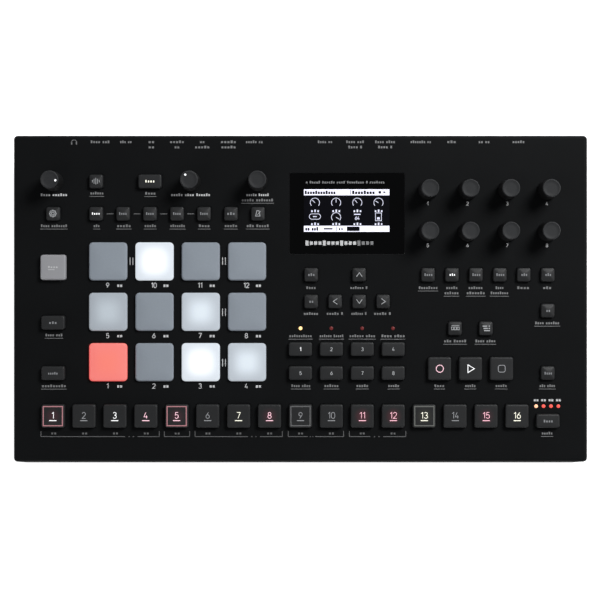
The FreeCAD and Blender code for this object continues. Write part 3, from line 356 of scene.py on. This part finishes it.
LIT_FAINT = lit("lit_faint", (0.135, 0.139, 0.146))
LIT_PINK = lit("lit_pink", (0.84, 0.52, 0.6))
LIT_ROSE = lit("lit_rose", (0.8, 0.42, 0.5))
LIT_CREAM = lit("lit_cream", (0.84, 0.83, 0.7))
FRAME_ROSE = lit("frame_rose", (0.29, 0.13, 0.145))
FRAME_STRAW = lit("frame_straw", (0.085, 0.088, 0.082))
LIT_SCREEN = lit("lit_screen", (0.76, 0.76, 0.88))
LIT_SHAPES = lit("lit_screen_shapes", (0.55, 0.56, 0.68))
SCREEN_DARK = grained("screen_dark", (0.0018, 0.0018, 0.004), (0.0024, 0.0024, 0.0052), 0.5, 900, 0.002,
                      specular_ior_level=0.08)
AMBER = lit("lamp_amber", (1.0, 0.62, 0.26), 1.5)
PEACH = lit("lamp_peach", (1.0, 0.5, 0.3), 1.1)
CORAL = lit("lamp_coral", (0.78, 0.09, 0.07))
EMBER = lit("lamp_ember", (0.1, 0.012, 0.012))


# Forms
class Form:
    """Points and faces of one piece, in millimetres."""

    def __init__(self):
        self.points = []
        self.faces = []

    def add(self, points, faces):
        start = len(self.points)
        self.points += [Vector(point) for point in points]
        self.faces += [[start + n for n in face] for face in faces]
        return self

    def take(self, other, u=0, v=0, w=0):
        """Add a copy of another form, moved."""
        return self.add([point + Vector((u, v, w)) for point in other.points], other.faces)

    def loft(self, rings):
        """A closed skin through rings that have the same number of points."""
        count = len(rings[0])
        faces = []
        for low in range(0, (len(rings) - 1) * count, count):
            high = low + count
            for k in range(count):
                after = (k + 1) % count
                faces.append([low + k, low + after, high + after, high + k])
        faces.append(list(range(count))[::-1])
        faces.append([(len(rings) - 1) * count + k for k in range(count)])
        return self.add([point for ring in rings for point in ring], faces)

    def stroke(self, path, width, level=0, closed=False):
        """A flat line of even width through points, mitred at its corners."""
        count = len(path)
        places = [Vector(point) for point in path]
        sides = []
        for n, place in enumerate(places):
            ends = []
            if closed or n:
                ends.append((place - places[n - 1]).normalized())
            if closed or n < count - 1:
                ends.append((places[(n + 1) % count] - place).normalized())
            along = sum(ends, Vector((0, 0))).normalized()
            across = Vector((-along.y, along.x))
            straight = Vector((-ends[0].y, ends[0].x))
            reach = width / 2 / max(0.4, across.dot(straight))
            sides.append([(*(place + across * reach), level), (*(place - across * reach), level)])
        pairs = [(n, (n + 1) % count) for n in range(count if closed else count - 1)]
        faces = [[2 * a + 1, 2 * b + 1, 2 * b, 2 * a] for a, b in pairs]
        return self.add([point for side in sides for point in side], faces)

    def block(self, u, v, width, height, level=0):
        """A flat rectangle."""
        w, h = width / 2, height / 2
        corners = [(u - w, v - h, level), (u + w, v - h, level), (u + w, v + h, level), (u - w, v + h, level)]
        return self.add(corners, [[0, 1, 2, 3]])

    def sheet(self, outline, level=0):
        """A flat face inside an outline."""
        return self.add([(*point, level) for point in outline], [list(range(len(outline)))])

    def build(self, name, finish, body, place=PANEL, u=0, v=0, w=0, crease=35, own_axes=True):
        """Make the piece, put it in place and let it ride on its body.

        Without axes of its own, the piece is drawn straight in the object's frame.
        """
        where = place @ Matrix.Translation(Vector((u, v, w)) * MM)
        points = [point * MM for point in self.points]
        if not own_axes:
            points = [where @ point for point in points]
            where = Matrix.Identity(4)
        mesh = bpy.data.meshes.new(name)
        mesh.from_pydata(points, [], self.faces)
        mesh.validate()
        mesh.shade_smooth()
        mesh.set_sharp_from_angle(angle=math.radians(crease))
        mesh.materials.append(finish.material)
        item = bpy.data.objects.new(name, mesh)
        bpy.context.scene.collection.objects.link(item)
        item.matrix_world = where
        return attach(item, body)


def ring(width, depth, corner, level, steps=5):
    """A level outline with rounded corners."""
    points = []
    for turn, (side_u, side_v) in enumerate(((1, 1), (-1, 1), (-1, -1), (1, -1))):
        for step in range(steps + 1):
            angle = math.pi / 2 * (turn + step / steps)
            u = side_u * (width / 2 - corner) + corner * math.cos(angle)
            v = side_v * (depth / 2 - corner) + corner * math.sin(angle)
            points.append(Vector((u, v, level)))
    return points


def round_ring(radius, level, count=64):
    angles = [2 * math.pi * n / count for n in range(count)]
    return [Vector((radius * math.cos(angle), radius * math.sin(angle), level)) for angle in angles]


def arc(u, v, across, along, start, end, steps=12):
    """Points of an elliptical arc, degrees from the u axis."""
    angles = [math.radians(start + (end - start) * n / steps) for n in range(steps + 1)]
    return [(u + across * math.cos(angle), v + along * math.sin(angle)) for angle in angles]


# Figures drawn with single strokes in a box 0.56 wide and 1 high
FIGURES = {
    "0": [arc(0.28, 0.7, 0.28, 0.3, 0, 180) + arc(0.28, 0.3, 0.28, 0.3, 180, 360) + [(0.56, 0.7)]],
    "1": [[(0.02, 0.8), (0.28, 1.0), (0.28, 0)]],
    "2": [arc(0.28, 0.71, 0.27, 0.29, 165, -30) + [(0.0, 0.0), (0.56, 0.0)]],
    "3": [arc(0.27, 0.76, 0.24, 0.24, 155, -90) + arc(0.27, 0.26, 0.28, 0.26, 90, -155)],
    "4": [[(0.3, 1.0), (0.0, 0.26), (0.56, 0.26)], [(0.42, 0.5), (0.42, 0.0)]],
    "5": [[(0.52, 1.0), (0.1, 1.0), (0.06, 0.54)] + arc(0.27, 0.32, 0.28, 0.32, 130, -150)],
    "6": [[(0.42, 1.0)] + arc(0.28, 0.3, 0.28, 0.3, 150, 510, 20)],
    "7": [[(0.0, 1.0), (0.56, 1.0), (0.18, 0.0)]],
    "8": [arc(0.28, 0.76, 0.23, 0.24, -90, 270, 20), arc(0.28, 0.27, 0.28, 0.27, 90, 450, 20)],
    "9": [arc(0.28, 0.7, 0.28, 0.3, -30, 330, 20)[::-1] + [(0.14, 0.0)]],
}


def figures(form, number, u, v, height, width, level=0):
    """A plain number, centred."""
    text = str(number)
    widths = [0.34 if digit == "1" else 0.56 for digit in text]
    start = u - height * (sum(widths) + 0.2 * (len(text) - 1)) / 2
    for digit, wide in zip(text, widths):
        for path in FIGURES[digit]:
            places = [(start + height * along, v + height * (up - 0.5)) for along, up in path]
            form.stroke(places, width, level)
        start += height * (wide + 0.2)
    return form


def marks(form, u, v, width, words, height, level=0, fill=0.6):
    """A row of small upright marks in groups, as wide as a caption."""
    cells = sum(words) + 0.7 * (len(words) - 1)
    pitch = width / cells
    start = u - width / 2
    for number, count in enumerate(words):
        for n in range(count):
            tall = height * (1.0 if (n * 5 + number * 3 + count) % 4 == 0 else 0.74)
            form.block(start + pitch * (n + 0.5), v - (height - tall) / 2, pitch * fill, tall, level)
        start += pitch * (count + 0.7)
    return form


# Inside the rear sockets
def tube(form, u, v, radius, low, high, count=40):
    """The inner skin of a round metal liner, low to high."""
    form.loft([round_ring(radius, low, count), round_ring(radius, high, count)][::-1])
    form.faces.pop()
    form.faces.pop()
    form.points[-2 * count:] = [point + Vector((u, v, 0)) for point in form.points[-2 * count:]]


def make_contacts():
    """Metal liners of the rear sockets, their pins and contacts, and painted shade in the pin holes."""
    liners, pins, hole_shade = Form(), Form(), Form()
    for u, v in JACKS:
        tube(liners, u, v, 3.14, -20, 4.6)
        tube(liners, u, v, 3.9, 4.93, 4.96)
    for u, v in FIVE_PIN_SOCKETS:
        tube(liners, u, v, 6.82, -9.6, -1.3)
        pins.take(Form().block(0, 0, 2.2, 1.6), u, v + 5.9, -4.0)
        for x, y in arc(u, v, 4.45, 4.45, 180, 360, 4):
            # Painted shade: a near-black disc at the bottom of each pin hole
            hole_shade.sheet(arc(x, y, 0.5, 0.5, 0, 342, 19), -9.64)
            pins.stroke(arc(x, y, 0.72, 0.72, 0, 342, 19), 0.24, -9.66, closed=True)
    for n in range(4):
        u = DATA_SOCKET + 1.3 * (n - 1.5)
        pins.block(u, 18.79, 0.7, 0.02, -1.5)
        strip = [(u + x, 18.77, w) for x, w in ((-0.35, -8), (0.35, -8), (0.35, -1.5), (-0.35, -1.5))]
        pins.add(strip, [[0, 1, 2, 3]])
    tube(liners, *POWER_INLET, 3.12, -8.8, 0.4)
    liners.build("socket_liners", NICKEL, "case", REAR)
    pins.build("socket_contacts", GOLD, "case", REAR)
    hole_shade.build("socket_hole_shade", SCREEN_DARK, "case", REAR)


def make_switch_marks():
    """A stroke and a ring for on and off, one on each face of the rocker."""
    rest = math.radians(-10)
    rocker = Matrix.Translation((0.1461, REAR_FACE - 0.0014, 0.027)) @ Matrix.Rotation(rest, 4, "Z")
    slope = math.atan2(1.5, 8.2)
    on = Form().block(0, 0, 0.7, 4.2)
    off = Form().stroke(arc(0, 0, 2.0, 2.0, 0, 350, 35), 0.6, closed=True)
    for name, sign, side in (("on", on, 1), ("off", off, -1)):
        face = Matrix.Translation((side * 0.0044, 0.00274, 0)) @ Matrix.Rotation(side * slope, 4, "Z")
        sign.build(f"rocker_mark_{name}", PALE_INK, "power_rocker", rocker @ face @ FACING_REAR)


# Camera, light and floor
def set_camera():
    """A camera square to the panel, one metre away, as in the photograph."""
    photo_width = 402.2
    lens = bpy.data.cameras.new("camera")
    lens.sensor_width = 36
    lens.lens = lens.sensor_width * 1000 / photo_width
    lens.clip_start = 0.01
    camera = bpy.data.objects.new("camera", lens)
    bpy.context.scene.collection.objects.link(camera)
    camera.matrix_world = PANEL @ Matrix.Translation((-0.00034, -0.00114, 1.0))
    bpy.context.scene.camera = camera


def soft_box(name, place, size, power, target=(0, 0, 0.04)):
    lamp = bpy.data.lights.new(name, "AREA")
    lamp.shape = "RECTANGLE"
    lamp.size, lamp.size_y = size
    lamp.energy = power
    item = bpy.data.objects.new(name, lamp)
    bpy.context.scene.collection.objects.link(item)
    item.location = place
    item.rotation_euler = (Vector(place) - Vector(target)).to_track_quat("Z", "Y").to_euler()


def set_light():
    soft_box("main_light", (0.75, 0.62, 1.15), (0.55, 0.55), 15.8)
    soft_box("fill_light", (-0.9, -0.9, 1.3), (1.2, 1.2), 2.2)
    world = bpy.data.worlds.new("studio")
    bpy.context.scene.world = world
    world.use_nodes = True
    back = world.node_tree.nodes["Background"]
    nodes, links = world.node_tree.nodes, world.node_tree.links
    where = nodes.new("ShaderNodeTexCoord")
    apart = nodes.new("ShaderNodeSeparateXYZ")
    ramp = nodes.new("ShaderNodeValToRGB")
    links.new(where.outputs["Generated"], apart.inputs[0])
    links.new(apart.outputs["Z"], ramp.inputs[0])
    links.new(ramp.outputs[0], back.inputs["Color"])
    ramp.color_ramp.elements[0].position = 0.12
    ramp.color_ramp.elements[0].color = (0.5, 0.5, 0.505, 1)
    ramp.color_ramp.elements[1].position = 0.75
    ramp.color_ramp.elements[1].color = (0.12, 0.12, 0.125, 1)


def lay_floor():
    floor = Finish("pale_floor", base_color=(0.85, 0.85, 0.85), roughness=0.8, emission_strength=0.92)
    tone = floor.noise(3, 2).within(0, 1)
    floor.set({"Emission Color": floor.mix(tone, (0.99, 0.99, 0.995), (1, 1, 1))})
    mesh = bpy.data.meshes.new("floor")
    mesh.from_pydata([(-6, -6, 0), (6, -6, 0), (6, 6, 0), (-6, 6, 0)], [], [[0, 1, 2, 3]])
    mesh.materials.append(floor.material)
    item = bpy.data.objects.new("floor", mesh)
    bpy.context.scene.collection.objects.link(item)


# Steel case and what is fixed in it
def dress(names, finish):
    """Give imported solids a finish."""
    for name in names:
        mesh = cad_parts[name].data
        mesh.materials.clear()
        mesh.materials.append(finish.material)


def dress_solids():
    dress(["top_panel", "bottom_case"], STEEL)
    dress(["rubber_feet"], FOOT)
    dress(["control_board", "main_board"], BOARD)
    dress(["display_window"], PANE)
    dress(["display_module", "usb_socket"], MODULE_STEEL)
    dress(["phone_jacks", "midi_sockets", "power_inlet", "power_switch", "power_rocker"], PLASTIC)
    dress(["jack_nuts"], NICKEL)
    dress(["screws"], BLACK_ZINC)


# Keys, pads and knobs
def key_cap(width, depth, corner=1.5, crown=0.0):
    """Key cap with its flange and stem. The crown is how far its middle stands over its rim."""
    top, rim, taper = KEY_TOP - crown, 0.85, 0.35
    rings = [ring(3.4, 3.4, 1.7, -5.2), ring(3.4, 3.4, 1.7, -2.7)]
    rings += [ring(width + 2.4, depth + 2.4, 0.8, level) for level in (-2.7, -1.5)]
    rings += [ring(width, depth, corner, level) for level in (-1.5, 0.4)]
    for n in range(7):
        angle = math.pi / 2 * n / 6
        inset = 2 * (taper * (0.5 + n / 12) + rim * (1 - math.cos(angle)))
        level = top - rim + rim * math.sin(angle)
        rings.append(ring(width - inset, depth - inset, max(0.5, corner - 0.12 * n), level))
    edge_w, edge_d = width - inset, depth - inset
    for share in (0.92, 0.8, 0.65, 0.5, 0.35, 0.2, 0.08):
        level = top + crown * (1 - share ** 2)
        corner = share * min(edge_w, edge_d) / 2 * (0.17 + 0.81 * (1 - share))
        rings.append(ring(edge_w * share, edge_d * share, corner, level))
    return Form().loft(rings)


def make_keys():
    square = key_cap(15.8, 15.8, crown=0.05)
    for n, (u, v) in enumerate(STEPS, start=1):
        name = f"step_key_{n:02d}"
        finish = STEP_PLASTICS.get(n, KEY)
        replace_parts(square.build(f"{name}_cap", finish, name, u=u, v=v), name)
    for name, u in TRANSPORT.items():
        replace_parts(square.build(f"{name}_cap", KEY, name, u=u, v=TRANSPORT_ROW), name)
    function = key_cap(17.1, 17.1, corner=1.7, crown=0.1)
    u, v = FUNCTION
    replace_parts(function.build("function_key_cap", PALE_KEY, "function_key", u=u, v=v), "function_key")
    for name, form, places in (("small_keys", key_cap(9.4, 9.4, crown=0.7), SMALL_KEYS),
                               ("wide_keys", key_cap(15.8, 9.5, crown=0.12), WIDE_KEYS)):
        row = Form()
        for u, v in places:
            row.take(form, u, v)
        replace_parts(row.build(f"{name}_caps", KEY, name), name)


def make_pads():
    """Crowned rubber pads with their flange and core."""
    top, rim, crown, side, flange, core = 2.4, 1.35, 0.8, 25.5, 28.5, 21
    rings = [ring(core, core, 1.0, level) for level in (-6.29, -3.1)]
    rings += [ring(flange, flange, 2.0, level) for level in (-3.1, -1.5)]
    rings += [ring(side, side, 2.6, level) for level in (-1.5, 0.6)]
    for n in range(8):
        angle = math.pi / 2 * n / 7
        inset = 2 * rim * (1 - math.cos(angle))
        level = top - rim + rim * math.sin(angle)
        rings.append(ring(side - inset, side - inset, 2.6 - 0.1 * n, level))
    edge = side - inset
    for share in (0.94, 0.86, 0.75, 0.62, 0.48, 0.34, 0.2, 0.08):
        corner = edge / 2 * share * (0.17 + 0.81 * (1 - share))
        rings.append(ring(edge * share, edge * share, corner, top + crown * (1 - share ** 2.4)))
    form = Form().loft(rings)
    grey = (0.325, 0.37, 0.42)
    tones = {
        "dark": (grey, (0.02, 0.022, 0.025), (0.01, 0.01, 0.012)),
        "half": (grey, (0.29, 0.32, 0.34), (0.16, 0.17, 0.18)),
        "bright": (grey, (0.55, 0.6, 0.64), (0.29, 0.31, 0.33)),
        "full": (grey, (1.0, 1.02, 1.05), (0.52, 0.55, 0.58)),
        "red": ((0.33, 0.31, 0.27), (0.75, 0.035, 0.012), (0.72, 0.03, 0.03)),
    }
    rubber = {name: pad_rubber(f"pad_rubber_{name}", *tone) for name, tone in tones.items()}
    levels = ["red", "dark", "full", "bright", "half", "dark", "bright", "dark"]
    levels += ["dark", "full", "dark", "dark"]
    for n, ((u, v), level) in enumerate(zip(PADS, levels), start=1):
        name = f"pad_{n:02d}"
        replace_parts(form.build(f"{name}_rubber", rubber[level], name, u=u, v=v), name)


def make_knobs():
    """Tapered rubber knobs on their shafts, with a white spot on the two that have end stops."""
    inner = [(3.0, -6.2), (3.0, 6.7), (4.8, 6.7), (4.8, 0.7)]
    outer = [(6.35, 0.7), (6.6, 0.95), (6.6, 2.2), (6.42, 2.6), (6.38, 4.0), (5.95, 16.6), (5.9, 17.3)]
    rim = [(5.9 - 0.6 * (1 - math.cos(math.pi / 2 * n / 5)), 17.4 + 0.6 * math.sin(math.pi / 2 * n / 5))
           for n in range(1, 6)]
    top = [(5.1, 18.0), (4.95, 17.9), (3.0, 17.88), (0.6, KNOB_TOP)]
    form = Form().loft([round_ring(*spot) for spot in inner + outer + rim + top])
    for name, (u, v) in KNOBS.items():
        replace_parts(form.build(f"{name}_grip", KNOB, name, u=u, v=v, crease=40, own_axes=False), name)
    for name, angle in (("main_volume_knob", -7.7), ("performance_knob", 126.9)):
        u, v = KNOBS[name]
        across, up = 4.0 * math.cos(math.radians(angle)), 4.0 * math.sin(math.radians(angle))
        spot = Form().loft([round_ring(0.72, 0, 24), round_ring(0.66, 0.05, 24)])
        spot.build(f"{name}_spot", LIT_WHITE, name, u=u + across, v=v + up, w=KNOB_TOP)


# Legends in the keys
def upright_box(form, u, v, width, height, line):
    """The outline of a rectangle."""
    w, h = width / 2, height / 2
    form.stroke([(u - w, v - h), (u + w, v - h), (u + w, v + h), (u - w, v + h)], line, closed=True)


def icon_gear(form, u, v):
    form.stroke(arc(u, v, 0.95, 0.95, 0, 345, 20), 0.4, closed=True)
    teeth = []
    for n in range(8):
        for spread, reach in ((-14, 1.75), (-10, 2.3), (10, 2.3), (14, 1.75)):
            angle = math.radians(45 * n + spread)
            teeth.append((u + reach * math.cos(angle), v + reach * math.sin(angle)))
    form.stroke(teeth, 0.4, closed=True)


def icon_bars(form, u, v):
    for n, height in enumerate((1.6, 3.2, 4.4, 3.2, 1.6)):
        form.block(u + 1.15 * (n - 2), v, 0.38, height)


def icon_metronome(form, u, v):
    body = [(u - 1.5, v - 1.7), (u + 1.5, v - 1.7), (u + 0.7, v + 1.9), (u - 0.7, v + 1.9)]
    form.stroke(body, 0.4, closed=True)
    form.stroke([(u - 0.4, v - 0.9), (u + 1.8, v + 1.6)], 0.36)


def icon_chain(form, u, v):
    for n in (-1, 0, 1):
        upright_box(form, u + 1.9 * n, v, 1.4, 1.8, 0.34)
    form.block(u, v + 1.9, 5.2, 0.34)


def icon_rows(form, u, v):
    for n in range(3):
        form.block(u - 0.9 + 0.5 * n, v + 1.5 * (1 - n), 3.0, 0.75)
        form.block(u + 2.0, v + 1.5 * (1 - n), 0.9, 0.75)


CHEVRONS = {"up": (0, 1), "down": (0, -1), "left": (-1, 0), "right": (1, 0)}


def make_small_legends():
    """Symbols in the small and wide keys, which share their keys' travel."""
    soft, dim, bright = Form(), Form(), Form()
    icon_gear(soft, *GEAR)
    icon_bars(soft, *BARS)
    icon_metronome(soft, *MODES[6])
    icon_chain(soft, *CHAINS[0])
    icon_rows(soft, *CHAINS[1])
    for name, (u, v) in ARROWS.items():
        along = Vector(CHEVRONS[name])
        across = Vector((-along.y, along.x))
        tip, foot = along * 1.35, along * -1.35
        path = [Vector((u, v)) + spot for spot in (foot + across * 1.9, tip, foot - across * 1.9)]
        soft.stroke(path, 0.42)
    marks(bright, *MODES[0], 5.8, (4,), 1.5, fill=0.5)
    for n, count in ((1, 4), (2, 4), (3, 4), (4, 4), (5, 3)):
        marks(dim, *MODES[n], 5.6, (count,), 1.8)
    for place, count in zip(ANSWERS, (3, 2)):
        marks(dim, *place, 1.6 * count, (count,), 1.8)
    for n, count in enumerate((4, 3, 4, 4, 3, 3)):
        if n == 1:
            marks(bright, *SETTINGS[n], 1.4 * count, (count,), 1.5, fill=0.5)
        else:
            marks(dim, *SETTINGS[n], 1.45 * count, (count,), 1.8)
    marks(dim, *EFFECT, 3.0, (2,), 1.8)
    marks(dim, *FILL, 5.4, (4,), 1.8)
    looks = (("soft", soft, LIT_SOFT), ("dim", dim, LIT_FAINT), ("bright", bright, LIT_WHITE))
    for name, form, finish in looks:
        form.build(f"small_key_legends_{name}", finish, "small_keys", w=CROWNED_KEY_LEGEND)
    mute = marks(Form(), *MUTE, 6.8, (4,), 1.7, fill=0.5)
    mute.build("wide_key_legend_cream", LIT_CREAM, "wide_keys", w=KEY_LEGEND)
    plain, first, faint = Form(), Form(), Form()
    marks(faint, *LEFT_UPPER, 5.6, (3,), 1.6)
    marks(faint, *LEFT_LOWER, 6.8, (5,), 1.6)
    marks(faint, *PAGE, 6.6, (4,), 1.8)
    for n, (u, v) in enumerate(BANKS, start=1):
        figures(first if n == 1 else plain, n, u, v, 2.2, 0.36)
    faint.build("wide_key_legends_faint", LIT_FAINT, "wide_keys", w=KEY_LEGEND)
    plain.build("wide_key_legends_soft", LIT_SOFT, "wide_keys", w=KEY_LEGEND)
    first.build("wide_key_legend_white", LIT_WHITE, "wide_keys", w=KEY_LEGEND)


# Which step keys are lit, how, and framed with what
STEP_COLOURS = {
    1: LIT_WHITE, 2: LIT_DIM, 3: LIT_WHITE, 4: LIT_PINK,
    5: LIT_PINK, 6: LIT_DIM, 7: LIT_CREAM, 8: LIT_PINK,
    9: LIT_DIM, 10: LIT_DIM, 11: LIT_ROSE, 12: LIT_ROSE,
    13: LIT_CREAM, 14: LIT_DIM, 15: LIT_ROSE, 16: LIT_CREAM,
}
STEP_FRAMES = {1: FRAME_ROSE, 5: FRAME_ROSE, 9: DIM_INK, 13: FRAME_STRAW}
RED_GLOW = key_plastic("key_plastic_red_glow", (0.05, 0.005, 0.01), 6.5)
ROSE_GLOW = key_plastic("key_plastic_rose_glow", (0.03, 0.004, 0.008), 6.5)
CREAM_GLOW = key_plastic("key_plastic_cream_glow", (0.018, 0.017, 0.009), 6.5)
STEP_PLASTICS = {n: ROSE_GLOW for n in (1, 5, 8, 15)} | {11: RED_GLOW, 12: RED_GLOW, 13: CREAM_GLOW}


def make_step_legends():
    """Numbers in the step keys, each over a short bar, and frames round every fourth."""
    for n, (u, v) in enumerate(STEPS, start=1):
        body = f"step_key_{n:02d}"
        number = figures(Form(), n, 0, 0.5, 4.0, 0.37)
        number.block(0, -3.0, 4.8, 0.55)
        number.build(f"step_legend_{n:02d}", STEP_COLOURS[n], body, u=u, v=v, w=KEY_LEGEND)
        if n in STEP_FRAMES:
            rail = Form()
            upright_box(rail, 0, 0, 12.8, 12.8, 0.7)
            rail.build(f"step_frame_{n:02d}", STEP_FRAMES[n], body, u=u, v=v, w=KEY_FRAME)


def make_transport_legends():
    """Ring, arrow and square in the transport keys, and the word in the function key."""
    circle = arc(0, 0, 2.4, 2.4, 0, 350, 35)
    arrow = [(-1.9, -2.6), (2.4, 0), (-1.9, 2.6)]
    square = [(point.x, point.y) for point in ring(4.6, 4.6, 1.3, 0)]
    for name, path, finish in (("record_key", circle, LIT_PINK), ("play_key", arrow, LIT_WHITE),
                               ("stop_key", square, LIT_DIM)):
        sign = Form().stroke(path, 0.43, closed=True)
        sign.build(f"{name}_sign", finish, name, u=TRANSPORT[name], v=TRANSPORT_ROW, w=KEY_LEGEND)
    u, v = FUNCTION
    word = marks(Form(), 0, 0.2, 7.0, (4,), 1.3)
    word.block(-1.0, -1.6, 4.4, 0.45)
    word.build("function_key_legend", PALE_INK, "function_key", u=u, v=v, w=CROWNED_KEY_LEGEND)


# Printing on the panel
def print_panel():
    grey, dim, bold = Form(), Form(), Form()
    for n, (u, v, width, words, underlined) in enumerate(CAPTIONS):
        marks(bold if n in BOLD_CAPTIONS else grey, u, v, width, words, CAPTION_HEIGHT, fill=0.66)
        if underlined:
            grey.block(u, v - 2.2, width + 0.6, 0.34)
    for u, v, width, words in REAR_CAPTIONS:
        marks(grey, u, v, width, words, CAPTION_HEIGHT, fill=0.66)
    for n in range(4):
        u = (MODES[n][0] + MODES[n + 1][0]) / 2
        grey.block(u, 56.6, 4.6, 0.4)
    print_brackets(dim)
    grey.build("panel_captions", CAPTION_INK, "case", w=INK_LEVEL)
    bold.build("panel_bold_captions", PALE_INK, "case", w=INK_LEVEL)
    dim.build("panel_brackets", DIM_INK, "case", w=INK_LEVEL)
    pale = Form()
    for n, (u, v) in enumerate(PADS, start=1):
        figures(pale, n, u - 0.5, v - 16.0, 3.1, 0.5)
        marks(pale, u + 7.6, v - 16.0, 3.9, (2,), 2.2, fill=0.72)
    for u, v in ((-113.3, 24.9), (-51.3, 24.9), (-51.3, -9.4), (-51.3, -43.2)):
        for side in (-0.95, 0.95):
            pale.block(u + side, v, 0.5, 5.0)
    for n, (u, v) in enumerate(DATA_KNOBS, start=1):
        figures(pale, n, u - 0.2, v - 9.1, 2.2, 0.42)
    for u, v in PAGE_LIGHTS:
        marks(pale, u, v + 4.2, 3.6, (2,), 1.9, fill=0.75)
    pale.build("panel_numbers", PALE_INK, "case", w=INK_LEVEL)
    print_headphones()


# Left and right end of each bracket, and the ends of its gap
BRACKETS = [
    (-174.0, -94.7, (-117.6, -109.2)), (-91.3, -74.3, None), (-70.7, -12.2, (-35.3, -27.2)),
    (-8.2, 28.9, (5.0, 9.9)), (32.7, 70.6, (46.7, 55.5)),
]


def print_brackets(form):
    """Brackets that gather the step keys, with dotted gaps."""
    line = 0.42
    low, high = -92.7, -89.0
    for left, right, gap in BRACKETS:
        for end in (left, right):
            form.block(end, (low + high) / 2, line, high - low)
        ends = [left, *(gap or ()), right]
        for start, end in zip(ends[::2], ends[1::2]):
            form.block((start + end) / 2, low, end - start, line)
        for share in (0.33, 0.67) if gap else ():
            form.block(gap[0] + share * (gap[1] - gap[0]), low, 0.7, 0.5)
    for n in range(12):
        marks(form, FIRST + n * STEP_PITCH, -90.4, 4.0, (2,), 1.7)


def print_headphones():
    u, v = -151.8, 104.7
    sign = Form().stroke(arc(u, v - 0.2, 1.7, 1.7, 0, 180), 0.36)
    for side in (-1, 1):
        sign.block(u + side * 1.6, v - 0.9, 0.8, 1.5)
    sign.build("headphones_sign", CAPTION_INK, "case", w=INK_LEVEL)


# Display
def gauge(form, u, v, angle):
    """A round dial with an open bottom and its pointer."""
    form.stroke(arc(u, v, 3.1, 3.1, -40, 220, 24), 0.36)
    tip = (u + 2.4 * math.cos(math.radians(angle)), v + 2.4 * math.sin(math.radians(angle)))
    form.stroke([(u, v), tip], 0.36)


def make_display():
    """What the screen shows: bars, dials and plain marks."""
    u, v = SCREEN
    glass = Form().block(0, 0, 57.3, 28.5)
    glass.build("screen_field", SCREEN_DARK, "case", u=u, v=v, w=0.03)
    bars, white, black = Form(), Form(), Form()
    for level in (12.25, -12.2):
        bars.block(0, level, 57.3, 4.0)
    marks(black, -17.8, 12.2, 21.0, (12,), 2.4, fill=0.75)
    marks(black, 11.2, 12.2, 15.5, (8,), 2.4, fill=0.75)
    black.block(2.5, 12.25, 0.4, 3.2)
    black.block(22.2, 12.25, 1.7, 1.7)
    black.sheet([(24.6, 13.2), (24.6, 11.3), (26.3, 12.25)])
    marks(black, -23.4, -12.2, 9.0, (2, 3), 2.4, fill=0.75)
    black.block(-12.4, -12.2, 6.0, 1.0)
    black.block(-7.0, -12.2, 0.4, 3.2)
    marks(black, -4.0, -12.2, 3.4, (2,), 2.0, fill=0.5)
    black.block(4.4, -12.2, 8.6, 3.0)
    for column, angle in enumerate((135, 90, 135, 150)):
        gauge(white, -21.3 + 14.2 * column, 5.3, angle)
        marks(white, -21.2 + 14.2 * column, -0.2, 6.2, (3,), 1.7, fill=0.5)
    gauge(white, -7.1, -4.5, -30)
    white.stroke([(-21.3 + point.x, -4.0 + point.y) for point in ring(7.6, 3.6, 1.79, 0)], 0.36, closed=True)
    white.block(-21.3, -4.0, 2.6, 0.6)
    white.block(7.1, -2.5, 4.4, 0.7)
    figures(white, 64, 7.1, -5.0, 2.1, 0.34)
    upright_box(white, 21.3, -4.2, 4.0, 5.2, 0.36)
    white.block(21.3, -5.2, 1.9, 1.5)
    for column in range(4):
        marks(white, -21.2 + 14.2 * column, -8.9, 6.2, (3,), 1.7, fill=0.5)
    bars.build("screen_bars", LIT_SCREEN, "case", u=u, v=v, w=0.06)
    white.build("screen_shapes", LIT_SHAPES, "case", u=u, v=v, w=0.06)
    black.build("screen_bars_text", SCREEN_DARK, "case", u=u, v=v, w=0.09)
    strip, faint = Form(), Form()
    marks(faint, -1.0, 19.0, 53.0, (1, 5, 6, 4, 8, 1, 7), 1.6, fill=0.7)
    for n in range(12):
        strip.block(-26.6 + 2.9 * n, -21.8, 2.0, 3.4 if n % 4 == 0 else 2.3)
    for n in range(12, 16):
        faint.block(-26.6 + 2.9 * n, -21.8, 2.0, 3.4 if n % 4 == 0 else 2.3)
    strip.build("window_beat_marks", PALE_INK, "case", u=u, v=v, w=INK_LEVEL)
    faint.build("window_faint_marks", CAPTION_INK, "case", u=u, v=v, w=INK_LEVEL)


# Lamps
def lens(form, u, v):
    """The dome of a light pipe over the panel."""
    rings = [round_ring(1.2, -0.3, 24), round_ring(1.2, 0.12, 24), round_ring(1.05, 0.3, 24)]
    rings += [round_ring(0.7, 0.42, 24), round_ring(0.15, 0.47, 24)]
    form.take(Form().loft(rings), u, v)


def make_lamps():
    groups = {
        "bank_lamp_lit": (AMBER, BANK_LIGHTS[:1]),
        "bank_lamps_dim": (EMBER, BANK_LIGHTS[1:]),
        "page_lamp_lit": (PEACH, PAGE_LIGHTS[:1]),
        "page_lamps": (CORAL, PAGE_LIGHTS[1:]),
    }
    for name, (finish, places) in groups.items():
        form = Form()
        for u, v in places:
            lens(form, u, v)
        form.build(name, finish, "case")


bpy.context.scene.view_settings.view_transform = "Standard"
set_camera()
set_light()
lay_floor()
dress_solids()
make_keys()
make_pads()
make_knobs()
make_small_legends()
make_step_legends()
make_transport_legends()
print_panel()
make_display()
make_lamps()
make_contacts()
make_switch_marks()
